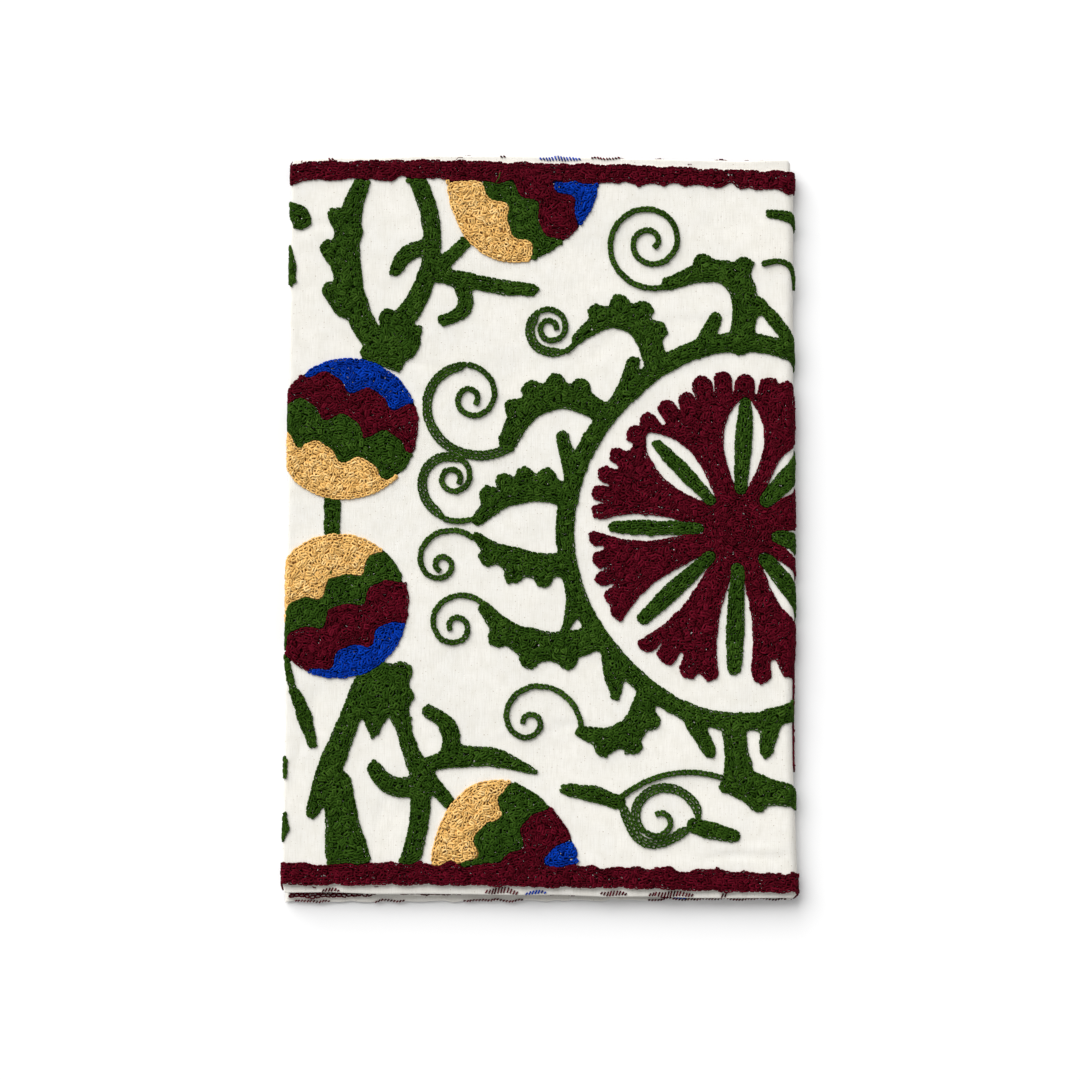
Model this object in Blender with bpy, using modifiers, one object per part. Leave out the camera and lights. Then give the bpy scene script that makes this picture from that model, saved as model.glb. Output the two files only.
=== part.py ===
"""A suzani table runner: one hemmed cotton panel, folded in half twice and lying flat.

The panel is one sheet that goes back and forth in four layers. From its third layer's free end it runs
to the right, round the tight inner fold, back along the second layer, round the left fold, along the top
layer, round the wide outer wrap and back along the bottom layer, which lies flat on its embroidered face.
X runs from the free ends to the outer wrap, Y across the panel, and the origin is the middle of the
underside.
"""

import math
from collections import namedtuple

import bmesh
import bpy

MM = 0.001

# Driving dimensions
SHEET_THICKNESS = 1.7 * MM
HEM_THICKNESS = 1.95 * MM
HEM_WIDTH = 10.0 * MM
HEM_STEP = 1.5 * MM
EDGE_ROUNDING = 2.5 * MM
EDGE_THICKNESS = 1.3 * MM
LAYER_GAP = 1.1 * MM
PANEL_WIDTH = 366.0 * MM
LAYER_LENGTH = 250.0 * MM

# How far the resting stack springs up over its pressed height, as shares of that height
MEAN_RISE = 0.045
RISE_SWING = 0.04
RISE_LENGTH_X = 310.0 * MM
RISE_LENGTH_Y = 240.0 * MM

# Grid segments
LAYER_SEGMENTS = 10
FOLD_SEGMENTS = 8
WIDTH_SEGMENTS = 20

# Heights of the embroidered face in each layer, and radii of the face round each fold
STACK_HEIGHT = 4 * SHEET_THICKNESS + 3 * LAYER_GAP
TOP_FACE = STACK_HEIGHT
SECOND_FACE = STACK_HEIGHT - 2 * SHEET_THICKNESS - LAYER_GAP
THIRD_FACE = SECOND_FACE - LAYER_GAP
OUTER_WRAP_RADIUS = STACK_HEIGHT / 2
LEFT_FOLD_RADIUS = (TOP_FACE - SECOND_FACE) / 2
INNER_FOLD_RADIUS = (SECOND_FACE - THIRD_FACE) / 2

# Where the folds and the free ends lie, in mm, at shares of the panel's width from its lower edge
Side = namedtuple("Side", "share right_wrap left_fold bottom_end third_end")
SIDES = (
    Side(0.00, 128.85, -128.85, -126.8, -126.0),
    Side(0.22, 127.00, -128.20, -125.9, -124.4),
    Side(0.40, 128.40, -127.60, -125.4, -125.2),
    Side(0.72, 128.60, -127.20, -126.3, -123.6),
    Side(1.00, 128.20, -126.80, -124.8, -122.2),
)

# The sheet's stretches in order along its section
STRETCHES = (
    "third layer",
    "inner fold",
    "second layer",
    "left fold",
    "top layer",
    "outer wrap",
    "bottom layer",
)

# Where the panel's two long edges lie, in mm, at shares of each stretch
Edge = namedtuple("Edge", "stretch share lower upper")
EDGES = (
    Edge("third layer", 0.0, -185.6, 184.2),
    Edge("third layer", 1.0, -185.0, 182.4),
    Edge("inner fold", 1.0, -184.6, 183.0),
    Edge("second layer", 0.7, -182.4, 186.8),
    Edge("second layer", 1.0, -181.8, 186.0),
    Edge("left fold", 1.0, -178.0, 184.4),
    Edge("top layer", 0.25, -177.9, 185.4),
    Edge("top layer", 0.60, -179.2, 182.6),
    Edge("top layer", 1.0, -181.6, 180.2),
    Edge("outer wrap", 0.5, -183.6, 180.8),
    Edge("bottom layer", 0.0, -185.8, 182.0),
    Edge("bottom layer", 1.0, -186.8, 184.0),
)

CLOTH_COLOUR = (0.80, 0.77, 0.70, 1.0)
CLOTH_ROUGHNESS = 0.92


def eased(share):
    """A share from 0 to 1 with a level start and end."""
    return share * share * (3 - 2 * share)


def between(low, high, share):
    return low + (high - low) * share


def read_table(rows, place_of, column, place):
    """The column's value at a place, eased between the rows on either side of it."""
    before = rows[0]
    for row in rows:
        if place_of(row) >= place:
            span = place_of(row) - place_of(before)
            share = (place - place_of(before)) / span if span else 0.0
            return between(getattr(before, column), getattr(row, column), eased(share))
        before = row
    return getattr(before, column)


def side(column, across):
    """The x of a fold or a free end at a share of the width."""
    return MM * read_table(SIDES, lambda row: row.share, column, across)


def edge(column, stretch, share):
    """The y of a long edge at a share of a stretch."""
    place = STRETCHES.index(stretch) + share
    return MM * read_table(EDGES, lambda row: STRETCHES.index(row.stretch) + row.share, column, place)


def fold_point(axis_x, axis_z, radius, share, side_sign, going_up):
    """A point round a half-turn fold that bulges to the side given by side_sign."""
    turn = math.pi * share
    x = axis_x + side_sign * radius * math.sin(turn)
    z = axis_z - (1 if going_up else -1) * radius * math.cos(turn)
    return x, z


def section_point(stretch, share, across):
    """The x and z of the embroidered face at a share of a stretch, before the stack springs up."""
    wrap_axis = side("right_wrap", across) - OUTER_WRAP_RADIUS
    left_axis = side("left_fold", across) + LEFT_FOLD_RADIUS
    if stretch == "third layer":
        return between(side("third_end", across), wrap_axis, share), THIRD_FACE
    if stretch == "inner fold":
        middle = (THIRD_FACE + SECOND_FACE) / 2
        return fold_point(wrap_axis, middle, INNER_FOLD_RADIUS, share, 1, True)
    if stretch == "second layer":
        return between(wrap_axis, left_axis, share), SECOND_FACE
    if stretch == "left fold":
        middle = (SECOND_FACE + TOP_FACE) / 2
        return fold_point(left_axis, middle, LEFT_FOLD_RADIUS, share, -1, True)
    if stretch == "top layer":
        return between(left_axis, wrap_axis, share), TOP_FACE
    if stretch == "outer wrap":
        return fold_point(wrap_axis, STACK_HEIGHT / 2, OUTER_WRAP_RADIUS, share, 1, False)
    return between(wrap_axis, side("bottom_end", across), share), 0.0


def rise(x, y):
    """How much taller than pressed the stack stands at a place, as a share."""
    wave_x = math.sin(math.tau * x / RISE_LENGTH_X + 0.6)
    wave_y = math.cos(math.tau * y / RISE_LENGTH_Y - 0.8)
    return MEAN_RISE + RISE_SWING * wave_x * wave_y


def folded_point(stretch, share, across):
    """A point of the embroidered face of the folded panel."""
    x, z = section_point(stretch, share, across)
    y = between(edge("lower", stretch, share), edge("upper", stretch, share), across)
    return x, y, z * (1 + rise(x, y))


def hem_distances():
    """The distances from a hemmed edge where the sheet's thickness changes."""
    return (0.0, EDGE_ROUNDING, HEM_WIDTH, HEM_WIDTH + HEM_STEP)


def thickness_at(distance):
    """The sheet's thickness at a distance from its nearest hemmed edge."""
    if distance < EDGE_ROUNDING:
        return between(EDGE_THICKNESS, HEM_THICKNESS, distance / EDGE_ROUNDING)
    past_hem = min(1.0, max(0.0, (distance - HEM_WIDTH) / HEM_STEP))
    return between(HEM_THICKNESS, SHEET_THICKNESS, past_hem)


def spread(start, end, segments):
    """Evenly spaced places from start to end, both included."""
    return [between(start, end, i / segments) for i in range(segments + 1)]


def width_places():
    """The grid's shares of the width, closer together at both hems."""
    hem = [distance / PANEL_WIDTH for distance in hem_distances()]
    middle = spread(hem[-1], 1 - hem[-1], WIDTH_SEGMENTS)
    return hem[:-1] + middle + [1 - share for share in reversed(hem[:-1])]


def path_places():
    """The grid's (stretch, share) places along the sheet, closer together at both end hems."""
    hem = [distance / LAYER_LENGTH for distance in hem_distances()]
    first = hem[:-1] + spread(hem[-1], 1.0, LAYER_SEGMENTS)
    last = [1 - share for share in reversed(first)]
    whole = spread(0.0, 1.0, LAYER_SEGMENTS)
    fold = spread(0.0, 1.0, FOLD_SEGMENTS)
    shares = {"third layer": first, "bottom layer": last}
    places = []
    for stretch in STRETCHES:
        own = shares.get(stretch, fold if "layer" not in stretch else whole)
        places += [(stretch, share) for share in (own if not places else own[1:])]
    return places


def distance_from_hem(stretch, share, across):
    """The distance to the panel's nearest edge, measured on the flat panel."""
    distance = PANEL_WIDTH * min(across, 1 - across)
    if stretch == "third layer":
        distance = min(distance, LAYER_LENGTH * share)
    if stretch == "bottom layer":
        distance = min(distance, LAYER_LENGTH * (1 - share))
    return distance


def cloth_material():
    material = bpy.data.materials.new("cotton_ground")
    material.use_nodes = True
    shader = material.node_tree.nodes["Principled BSDF"]
    shader.inputs["Base Color"].default_value = CLOTH_COLOUR
    shader.inputs["Roughness"].default_value = CLOTH_ROUGHNESS
    shader.inputs["Metallic"].default_value = 0.0
    return material


def folded_cloth(collection):
    """The panel as an open grid laid along its folds, thickened towards its back."""
    across_places = width_places()
    along_places = path_places()
    columns = len(along_places) - 1
    rows = len(across_places) - 1
    shape = bmesh.new()
    bmesh.ops.create_grid(shape, x_segments=columns, y_segments=rows, size=0.5)
    shape.verts.index_update()
    thicknesses = {}
    for vertex in shape.verts:
        column = round((vertex.co.x + 0.5) * columns)
        row = round((vertex.co.y + 0.5) * rows)
        stretch, share = along_places[column]
        across = across_places[row]
        vertex.co = folded_point(stretch, share, across)
        thicknesses[vertex.index] = thickness_at(distance_from_hem(stretch, share, across))
    mesh = bpy.data.meshes.new("suzani_cloth")
    shape.to_mesh(mesh)
    shape.free()
    mesh.shade_smooth()

    cloth = bpy.data.objects.new("suzani_cloth", mesh)
    collection.objects.link(cloth)
    mesh.materials.append(cloth_material())
    hem = cloth.vertex_groups.new(name="thickness")
    for index, thickness in thicknesses.items():
        hem.add([index], thickness / HEM_THICKNESS, "REPLACE")

    solidify = cloth.modifiers.new("sheet", "SOLIDIFY")
    solidify.thickness = HEM_THICKNESS
    solidify.offset = -1.0
    solidify.vertex_group = hem.name
    return cloth


def clear_scene():
    for thing in list(bpy.data.objects):
        bpy.data.objects.remove(thing, do_unlink=True)


def main():
    clear_scene()
    runner = bpy.data.collections.new("suzani_runner")
    bpy.context.scene.collection.children.link(runner)
    folded_cloth(runner)


main()
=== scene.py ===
"""Looks for the suzani table runner, folded in half twice and lying flat.

The cotton panel is one sheet laid along the folds of its CAD solid. On it the chain stitch is real
geometry: every link is a loop of yarn, set along rows that follow the outlines of the motifs.

Lengths are in millimetres until a mesh is made. A place on the panel is given by how far along it and
how far over it lies: "along" is the top layer's own x, carried on round both folds, and "over" is the
distance from the panel's lower long edge.
"""

import math
from collections import namedtuple

import bpy
import numpy as np
from mathutils import Matrix, Vector


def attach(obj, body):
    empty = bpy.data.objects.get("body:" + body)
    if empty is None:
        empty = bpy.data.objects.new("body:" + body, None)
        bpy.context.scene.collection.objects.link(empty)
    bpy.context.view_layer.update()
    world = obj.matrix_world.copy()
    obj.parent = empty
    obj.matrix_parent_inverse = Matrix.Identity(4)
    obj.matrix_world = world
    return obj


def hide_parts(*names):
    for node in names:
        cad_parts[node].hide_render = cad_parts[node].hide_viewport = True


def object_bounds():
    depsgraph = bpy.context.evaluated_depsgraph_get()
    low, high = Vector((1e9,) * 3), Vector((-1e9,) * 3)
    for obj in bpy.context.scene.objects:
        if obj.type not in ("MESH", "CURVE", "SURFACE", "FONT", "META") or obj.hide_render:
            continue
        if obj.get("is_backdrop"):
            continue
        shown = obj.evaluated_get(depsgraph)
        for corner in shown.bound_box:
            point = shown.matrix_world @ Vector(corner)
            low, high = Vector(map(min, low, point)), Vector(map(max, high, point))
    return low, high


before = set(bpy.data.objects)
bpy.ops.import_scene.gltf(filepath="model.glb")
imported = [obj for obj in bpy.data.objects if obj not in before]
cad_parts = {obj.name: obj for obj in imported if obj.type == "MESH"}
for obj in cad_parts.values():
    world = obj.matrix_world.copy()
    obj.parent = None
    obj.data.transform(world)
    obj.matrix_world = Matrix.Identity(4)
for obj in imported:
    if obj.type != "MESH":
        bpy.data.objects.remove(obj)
CAD_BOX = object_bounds()

MM = 0.001
random = np.random.RandomState(1729)

# ---------------------------------------------------------------- the folded panel, along its solid

# These are the solid's own numbers, but for the upper end of the right wrap and a few places of the two
# long edges, which follow the photo more closely.
SHEET_THICKNESS = 1.7
LAYER_GAP = 1.1
PANEL_WIDTH = 366.0
MEAN_RISE = 0.045
RISE_SWING = 0.04
RISE_LENGTH_X = 310.0
RISE_LENGTH_Y = 240.0
RISE_PHASE_X = 0.6
RISE_PHASE_Y = -0.8
TOP_FACE = 4 * SHEET_THICKNESS + 3 * LAYER_GAP
SECOND_FACE = TOP_FACE - 2 * SHEET_THICKNESS - LAYER_GAP
THIRD_FACE = SECOND_FACE - LAYER_GAP
OUTER_WRAP_RADIUS = TOP_FACE / 2
LEFT_FOLD_RADIUS = (TOP_FACE - SECOND_FACE) / 2
INNER_FOLD_RADIUS = (SECOND_FACE - THIRD_FACE) / 2

# Where the folds and free ends lie, at shares of the width
SIDE_SHARES = np.array([0.00, 0.22, 0.40, 0.72, 1.00])
RIGHT_WRAP = np.array([128.85, 127.00, 128.40, 128.60, 129.40])
LEFT_FOLD = np.array([-128.85, -128.20, -127.60, -127.20, -126.80])
BOTTOM_END = np.array([-126.8, -125.9, -125.4, -126.3, -124.8])
THIRD_END = np.array([-126.0, -124.4, -125.2, -123.6, -122.2])

# The stretches in order along the panel: third layer, inner fold, second layer, left fold, top layer,
# outer wrap, bottom layer. Each has its middle height, its radius, the side it bulges to, whether it
# climbs, and the way its embroidered face looks.
MIDDLE = np.array(
    [THIRD_FACE, (THIRD_FACE + SECOND_FACE) / 2, SECOND_FACE, (SECOND_FACE + TOP_FACE) / 2, TOP_FACE,
     TOP_FACE / 2, 0.0]
)
RADIUS = np.array([0, INNER_FOLD_RADIUS, 0, LEFT_FOLD_RADIUS, 0, OUTER_WRAP_RADIUS, 0])
BULGE = np.array([0, 1, 0, -1, 0, 1, 0])
CLIMB = np.array([0, 1, 0, 1, 0, -1, 0])
FACING = np.array([1, -1, -1, 1, 1, 1, -1])
IS_FOLD = np.array([0, 1, 0, 1, 0, 1, 0], bool)
TOP_PLACE, WRAP_PLACE, BOTTOM_PLACE = 4, 5, 6

# Where the two long edges lie, at places along the panel
EDGE_PLACES = np.array(
    [0, 0.1, 0.22, 0.29, 0.36, 1, 2, 2.7, 3, 3.5, 4, 4.03, 4.25, 4.6, 4.97, 5, 5.5, 6, 7]
)
LOWER_EDGE = np.array(
    [-185.0, -184.6, -182.6, -183.6, -182.4, -183.6, -184.6, -182.4, -181.4, -178.2, -177.4, -178.0,
     -177.8, -179.2, -181.6, -181.4, -183.0, -185.6, -186.8]
)
UPPER_EDGE = np.array(
    [184.2, 184.0, 183.7, 183.6, 183.5, 182.4, 186.4, 188.8, 187.4, 184.0, 184.0, 185.6,
     186.4, 184.4, 181.0, 180.4, 180.2, 182.0, 184.0]
)

# The cotton under the yarn
YARN_RELIEF = 1.0
COTTON_THICKNESS = 0.55
HEM_WIDTH = 10.0
HEM_STEP = 0.8


def eased(share):
    """A share from 0 to 1 with a level start and end."""
    return share * share * (3 - 2 * share)


def read_table(places, values, at):
    """The values at places, eased between the rows on either side."""
    after = np.clip(np.searchsorted(places, at), 1, len(places) - 1)
    span = places[after] - places[after - 1]
    share = np.clip((at - places[after - 1]) / span, 0.0, 1.0)
    return values[after - 1] + (values[after] - values[after - 1]) * eased(share)


def fold_axes(share):
    """The x of the left fold's axis and of the right folds' axis, at shares of the width."""
    left = read_table(SIDE_SHARES, LEFT_FOLD, share) + LEFT_FOLD_RADIUS
    right = read_table(SIDE_SHARES, RIGHT_WRAP, share) - OUTER_WRAP_RADIUS
    return left, right


def stretch_starts(share):
    """Where each stretch starts along the panel, and where the last one ends."""
    left, right = fold_axes(share)
    third = right - read_table(SIDE_SHARES, THIRD_END, share)
    bottom = right - read_table(SIDE_SHARES, BOTTOM_END, share)
    layer = right - left
    inner_fold = math.pi * INNER_FOLD_RADIUS
    left_fold = math.pi * LEFT_FOLD_RADIUS
    starts = [left - (third + inner_fold + layer + left_fold)]
    for length in (third, inner_fold, layer, left_fold, layer, math.pi * OUTER_WRAP_RADIUS, bottom):
        starts.append(starts[-1] + length)
    return np.stack(starts)


def place_at(along, share):
    """Which stretch a point lies in, plus how far through it."""
    starts = stretch_starts(share)
    return np.clip((along - starts[:-1]) / (starts[1:] - starts[:-1]), 0.0, 1.0).sum(0)


def face_at(place, share):
    """The embroidered face's x, y and z, and its normal's x and z."""
    stretch = np.minimum(place.astype(int), len(MIDDLE) - 1)
    through = place - stretch
    left, right = fold_axes(share)
    third_end = read_table(SIDE_SHARES, THIRD_END, share)
    bottom_end = read_table(SIDE_SHARES, BOTTOM_END, share)
    start = np.choose(stretch, [third_end, right, right, left, left, right, right])
    end = np.choose(stretch, [right, right, left, left, right, right, bottom_end])
    turn = np.pi * through
    lean_x = np.where(IS_FOLD[stretch], BULGE[stretch] * np.sin(turn), 0.0)
    lean_z = np.where(IS_FOLD[stretch], -CLIMB[stretch] * np.cos(turn), 1.0)
    x = start + (end - start) * through + RADIUS[stretch] * lean_x
    z = MIDDLE[stretch] + RADIUS[stretch] * np.where(IS_FOLD[stretch], lean_z, 0.0)
    lower = read_table(EDGE_PLACES, LOWER_EDGE, place)
    upper = read_table(EDGE_PLACES, UPPER_EDGE, place)
    y = lower + (upper - lower) * share
    return x, y, z, FACING[stretch] * lean_x, FACING[stretch] * lean_z


def rise(x, y):
    """How much taller than pressed the stack stands, as a share."""
    wave_x = np.sin(math.tau * x / RISE_LENGTH_X + RISE_PHASE_X)
    wave_y = np.cos(math.tau * y / RISE_LENGTH_Y + RISE_PHASE_Y)
    return MEAN_RISE + RISE_SWING * wave_x * wave_y


# Long, shallow waves that the cloth lies in: length, direction in degrees, phase, height
LIE_WAVES = (
    (61.0, 12.0, 0.3, 0.050),
    (43.0, 78.0, 1.9, 0.050),
    (34.0, 141.0, 4.1, 0.045),
    (23.0, 33.0, 2.2, 0.035),
    (17.0, 104.0, 5.0, 0.025),
)

# Soft creases on the top layer: from, to (along, over), depth, half width.
# A negative depth is a ridge.
Crease = namedtuple("Crease", "start end depth half_width")
CREASES = (
    Crease((88, 17), (124, 18), 0.34, 1.6),
    Crease((92, 21), (123, 22.5), -0.20, 1.5),
    Crease((14, 81), (52, 74), 0.30, 1.8),
    Crease((-18, 73), (10, 79), 0.18, 2.0),
    Crease((106, 296), (124, 294), 0.20, 1.8),
    Crease((60, 284), (98, 290), 0.20, 2.4),
    Crease((-123, 330), (-96, 336), 0.26, 2.0),
    Crease((-64, 262), (-38, 256), 0.24, 1.7),
    Crease((-60, 250), (-20, 246), -0.16, 2.2),
    Crease((-124, 52), (-112, 90), 0.24, 2.2),
    Crease((-80, 30), (-72, 52), 0.20, 2.0),
    Crease((28, 268), (60, 300), 0.16, 2.4),
    Crease((70, 50), (110, 46), 0.16, 2.2),
)
CREASE_TAPER = 7.0
# How far a crease strays from its straight line, and over what run
CREASE_WANDER = 0.8
CREASE_WANDER_RUN = 6.0


def lie(along, over):
    """How far the cloth lies above or below its level, from its waves and creases."""
    height = np.zeros_like(along)
    for length, degrees, phase, size in LIE_WAVES:
        angle = math.radians(degrees)
        run = along * math.cos(angle) + over * math.sin(angle)
        height += size * np.sin(math.tau * run / length + phase)
    for crease in CREASES:
        start = np.array(crease.start, float)
        line = np.array(crease.end, float) - start
        length = np.hypot(*line)
        line /= length
        run = (along - start[0]) * line[0] + (over - start[1]) * line[1]
        off = (over - start[1]) * line[0] - (along - start[0]) * line[1]
        off = off - CREASE_WANDER * np.sin(run / CREASE_WANDER_RUN)
        past = np.maximum(0, np.maximum(-run, run - length)) / CREASE_TAPER
        height -= crease.depth * np.exp(-((off / crease.half_width) ** 2) - past * past)
    return height


# Small waves in the two long edges, from the hem's stitches: length, phase, height
EDGE_WAVES = ((9.4, 0.2, 0.20), (14.3, 2.1, 0.24), (23.1, 4.0, 0.26), (5.7, 1.1, 0.12))
EDGE_WAVES_REACH = 5.0
# How much longer the upper edge's waves are, and how its phases differ
UPPER_WAVES_LENGTH = 1.13
UPPER_WAVES_PHASE = 2.3


def edge_waves(along, over):
    """How far the cloth near its long edges strays across the panel."""
    away = np.zeros_like(along)
    for length, phase, size in EDGE_WAVES:
        lower = np.exp(-((over / EDGE_WAVES_REACH) ** 2))
        upper = np.exp(-(((PANEL_WIDTH - over) / EDGE_WAVES_REACH) ** 2))
        away += size * lower * np.sin(math.tau * along / length + phase)
        length, phase = UPPER_WAVES_LENGTH * length, UPPER_WAVES_PHASE * phase
        away += size * upper * np.sin(math.tau * along / length + phase)
    return away


# The waves and creases fade out this close to the folds
FADE_REACH = 6.0
# How fast what stands past the long edges hangs down
DROOP = 0.5


def on_panel(along, over, height):
    """Points on the panel in mm, with the face's normals: height is above the cotton's face."""
    along, over, height = (np.asarray(v, float) for v in (along, over, height))
    inside = np.clip(over, 0.0, PANEL_WIDTH)
    beyond = over - inside
    share = inside / PANEL_WIDTH
    place = place_at(along, share)
    x, y, z, normal_x, normal_z = face_at(place, share)
    left, right = fold_axes(share)
    top = np.clip((along - left) / FADE_REACH, 0, 1) * np.clip((right - along) / FADE_REACH, 0, 1)
    up = height - YARN_RELIEF + top * lie(along, over) - DROOP * beyond * beyond
    lift = 1 + rise(x, y)
    y = y + beyond + edge_waves(along, inside)
    points = np.stack([x + normal_x * up, y, (z + normal_z * up) * lift], axis=-1)
    points[..., 2] = np.maximum(points[..., 2], 0.0)
    normals = np.stack([normal_x, np.zeros_like(normal_x), normal_z], axis=-1)
    return points, normals


# ---------------------------------------------------------------- the design, as it lies in the photo

# The camera looks almost straight down, and a little from the side of the lower edge
CAMERA_TILT = math.radians(4.3)
CAMERA_DISTANCE = 1275.0
CAMERA_TARGET = (0.0, -6.7, 10.4)
# How far above the middle of the view the zero of the seen places lies
SEEN_ZERO = -5.0
# Rounds in which a seen place is found on the cloth, whose edges depend on it
AIM_ROUNDS = 4

GROUND, GREEN, MAROON, BLUE, TAN = range(5)


def on_cloth(seen_x, seen_y):
    """Places on the panel of points of the top layer, as the tilted camera sees them at full size."""
    up = (seen_y - SEEN_ZERO) / CAMERA_DISTANCE
    reach = CAMERA_DISTANCE / (1 - up * math.tan(CAMERA_TILT))
    along = reach * seen_x / CAMERA_DISTANCE
    back = CAMERA_TARGET[1] - CAMERA_DISTANCE * math.sin(CAMERA_TILT)
    y = back + reach * (math.sin(CAMERA_TILT) + up * math.cos(CAMERA_TILT))
    share = np.full_like(along, 0.5)
    for _ in range(AIM_ROUNDS):
        left, right = fold_axes(share)
        place = TOP_PLACE + np.clip((along - left) / (right - left), 0, 1)
        lower = read_table(EDGE_PLACES, LOWER_EDGE, place)
        upper = read_table(EDGE_PLACES, UPPER_EDGE, place)
        share = np.clip((y - lower) / (upper - lower), -0.1, 1.1)
    return along, share * PANEL_WIDTH


def curve(points, step=0.8, closed=False):
    """A smooth curve through rows of numbers, as rows about a step apart."""
    points = np.asarray(points, float)
    count = len(points)
    if count < 2:
        return points
    if closed:
        points = np.concatenate([points[-1:], points, points[:2]])
        spans = range(1, count + 1)
    else:
        first = 2 * points[0] - points[1]
        last = 2 * points[-1] - points[-2]
        points = np.concatenate([first[None], points, last[None]])
        spans = range(1, count)
    rows = []
    for i in spans:
        before, start, end, after = points[i - 1 : i + 3]
        pieces = max(1, int(math.ceil(np.hypot(*(end - start)[:2]) / step)))
        t = (np.arange(pieces) / pieces)[:, None]
        rows.append(
            start
            + 0.5 * t * (end - before)
            + t**2 * (before - 2.5 * start + 2 * end - 0.5 * after)
            + t**3 * (1.5 * (start - end) + 0.5 * (after - before))
        )
    if not closed:
        rows.append(points[-2][None])
    return np.concatenate(rows)


# The pattern grid: its cells in mm, and the part of the panel that it covers, which is the top layer
# and a little past both its folds. The underside is its mirror image, and the rest has no motifs.
CELL = 0.4
LOW_ALONG, HIGH_ALONG = -190.0, 142.0
GRID_ALONG = np.arange(LOW_ALONG, HIGH_ALONG + CELL / 2, CELL)
GRID_OVER = np.arange(-CELL, PANEL_WIDTH + 1.5 * CELL, CELL)
pattern = np.zeros((len(GRID_OVER), len(GRID_ALONG)), np.int8)


def window(low_along, high_along, low_over, high_over):
    """The slice of the pattern grid over a rectangle, and its places."""
    columns = np.searchsorted(GRID_ALONG, (low_along, high_along))
    rows = np.searchsorted(GRID_OVER, (low_over, high_over))
    part = (slice(*rows), slice(*columns))
    return part, GRID_ALONG[None, part[1]], GRID_OVER[part[0], None]


def paint_round(start, end, colour):
    """Fills the shape that a disc sweeps between two (along, over, width) rows."""
    reach = max(start[2], end[2]) / 2 + CELL
    low, high = np.minimum(start, end)[:2] - reach, np.maximum(start, end)[:2] + reach
    part, along, over = window(low[0], high[0], low[1], high[1])
    line = end - start
    squared = max(line[0] ** 2 + line[1] ** 2, 1e-9)
    t = ((along - start[0]) * line[0] + (over - start[1]) * line[1]) / squared
    t = np.clip(t, 0, 1)
    off = np.hypot(along - start[0] - t * line[0], over - start[1] - t * line[1])
    pattern[part][off < (start[2] + t * line[2]) / 2] = colour


def placed(rows):
    """Rows of (seen x, seen y, more) with their first two columns on the cloth."""
    rows = np.array(rows, float)
    rows[:, 0], rows[:, 1] = on_cloth(rows[:, 0], rows[:, 1])
    return rows


def stroke(rows, colour=GREEN, closed=False):
    """Fills a smooth stroke through rows of (seen x, seen y, width)."""
    line = curve(placed(rows), closed=closed)
    if closed:
        line = np.concatenate([line, line[:1]])
    if len(line) == 1:
        paint_round(line[0], line[0], colour)
    for start, end in zip(line[:-1], line[1:]):
        paint_round(start, end, colour)


def inside_outline(outline, along, over):
    """Which places lie inside a closed line of (along, over) points."""
    inside = np.zeros(np.broadcast(along, over).shape, bool)
    for (x0, y0), (x1, y1) in zip(outline, np.roll(outline, -1, axis=0)):
        if y0 != y1:
            crosses = (over >= y0) != (over >= y1)
            inside ^= crosses & (along < x0 + (over - y0) * (x1 - x0) / (y1 - y0))
    return inside


def round_outline(centre, radii, swells, points=16):
    """A closed, hand-drawn round: an ellipse that swells unevenly."""
    angles = np.arange(points) * math.tau / points
    grown = 1 + sum(size * np.sin(n * angles + phase) for n, size, phase in swells)
    x = centre[0] + radii[0] * grown * np.cos(angles)
    y = centre[1] + radii[1] * grown * np.sin(angles)
    return np.stack([x, y], axis=1)


def bowed(start, end, bow, count=9):
    """Points from one place to another: the middle one lies this far to the left of their line."""
    start, end = np.array(start, float), np.array(end, float)
    line = end - start
    left = np.array([-line[1], line[0]]) / np.hypot(*line)
    share = np.linspace(0, 1, count)[:, None]
    return start + share * line + 4 * share * (1 - share) * bow * left


def with_widths(points, widths):
    """The points again, each with its width, read from a few widths spaced evenly along them."""
    share = np.linspace(0, len(widths) - 1, len(points))
    return np.column_stack([points, np.interp(share, np.arange(len(widths)), widths)])


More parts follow.
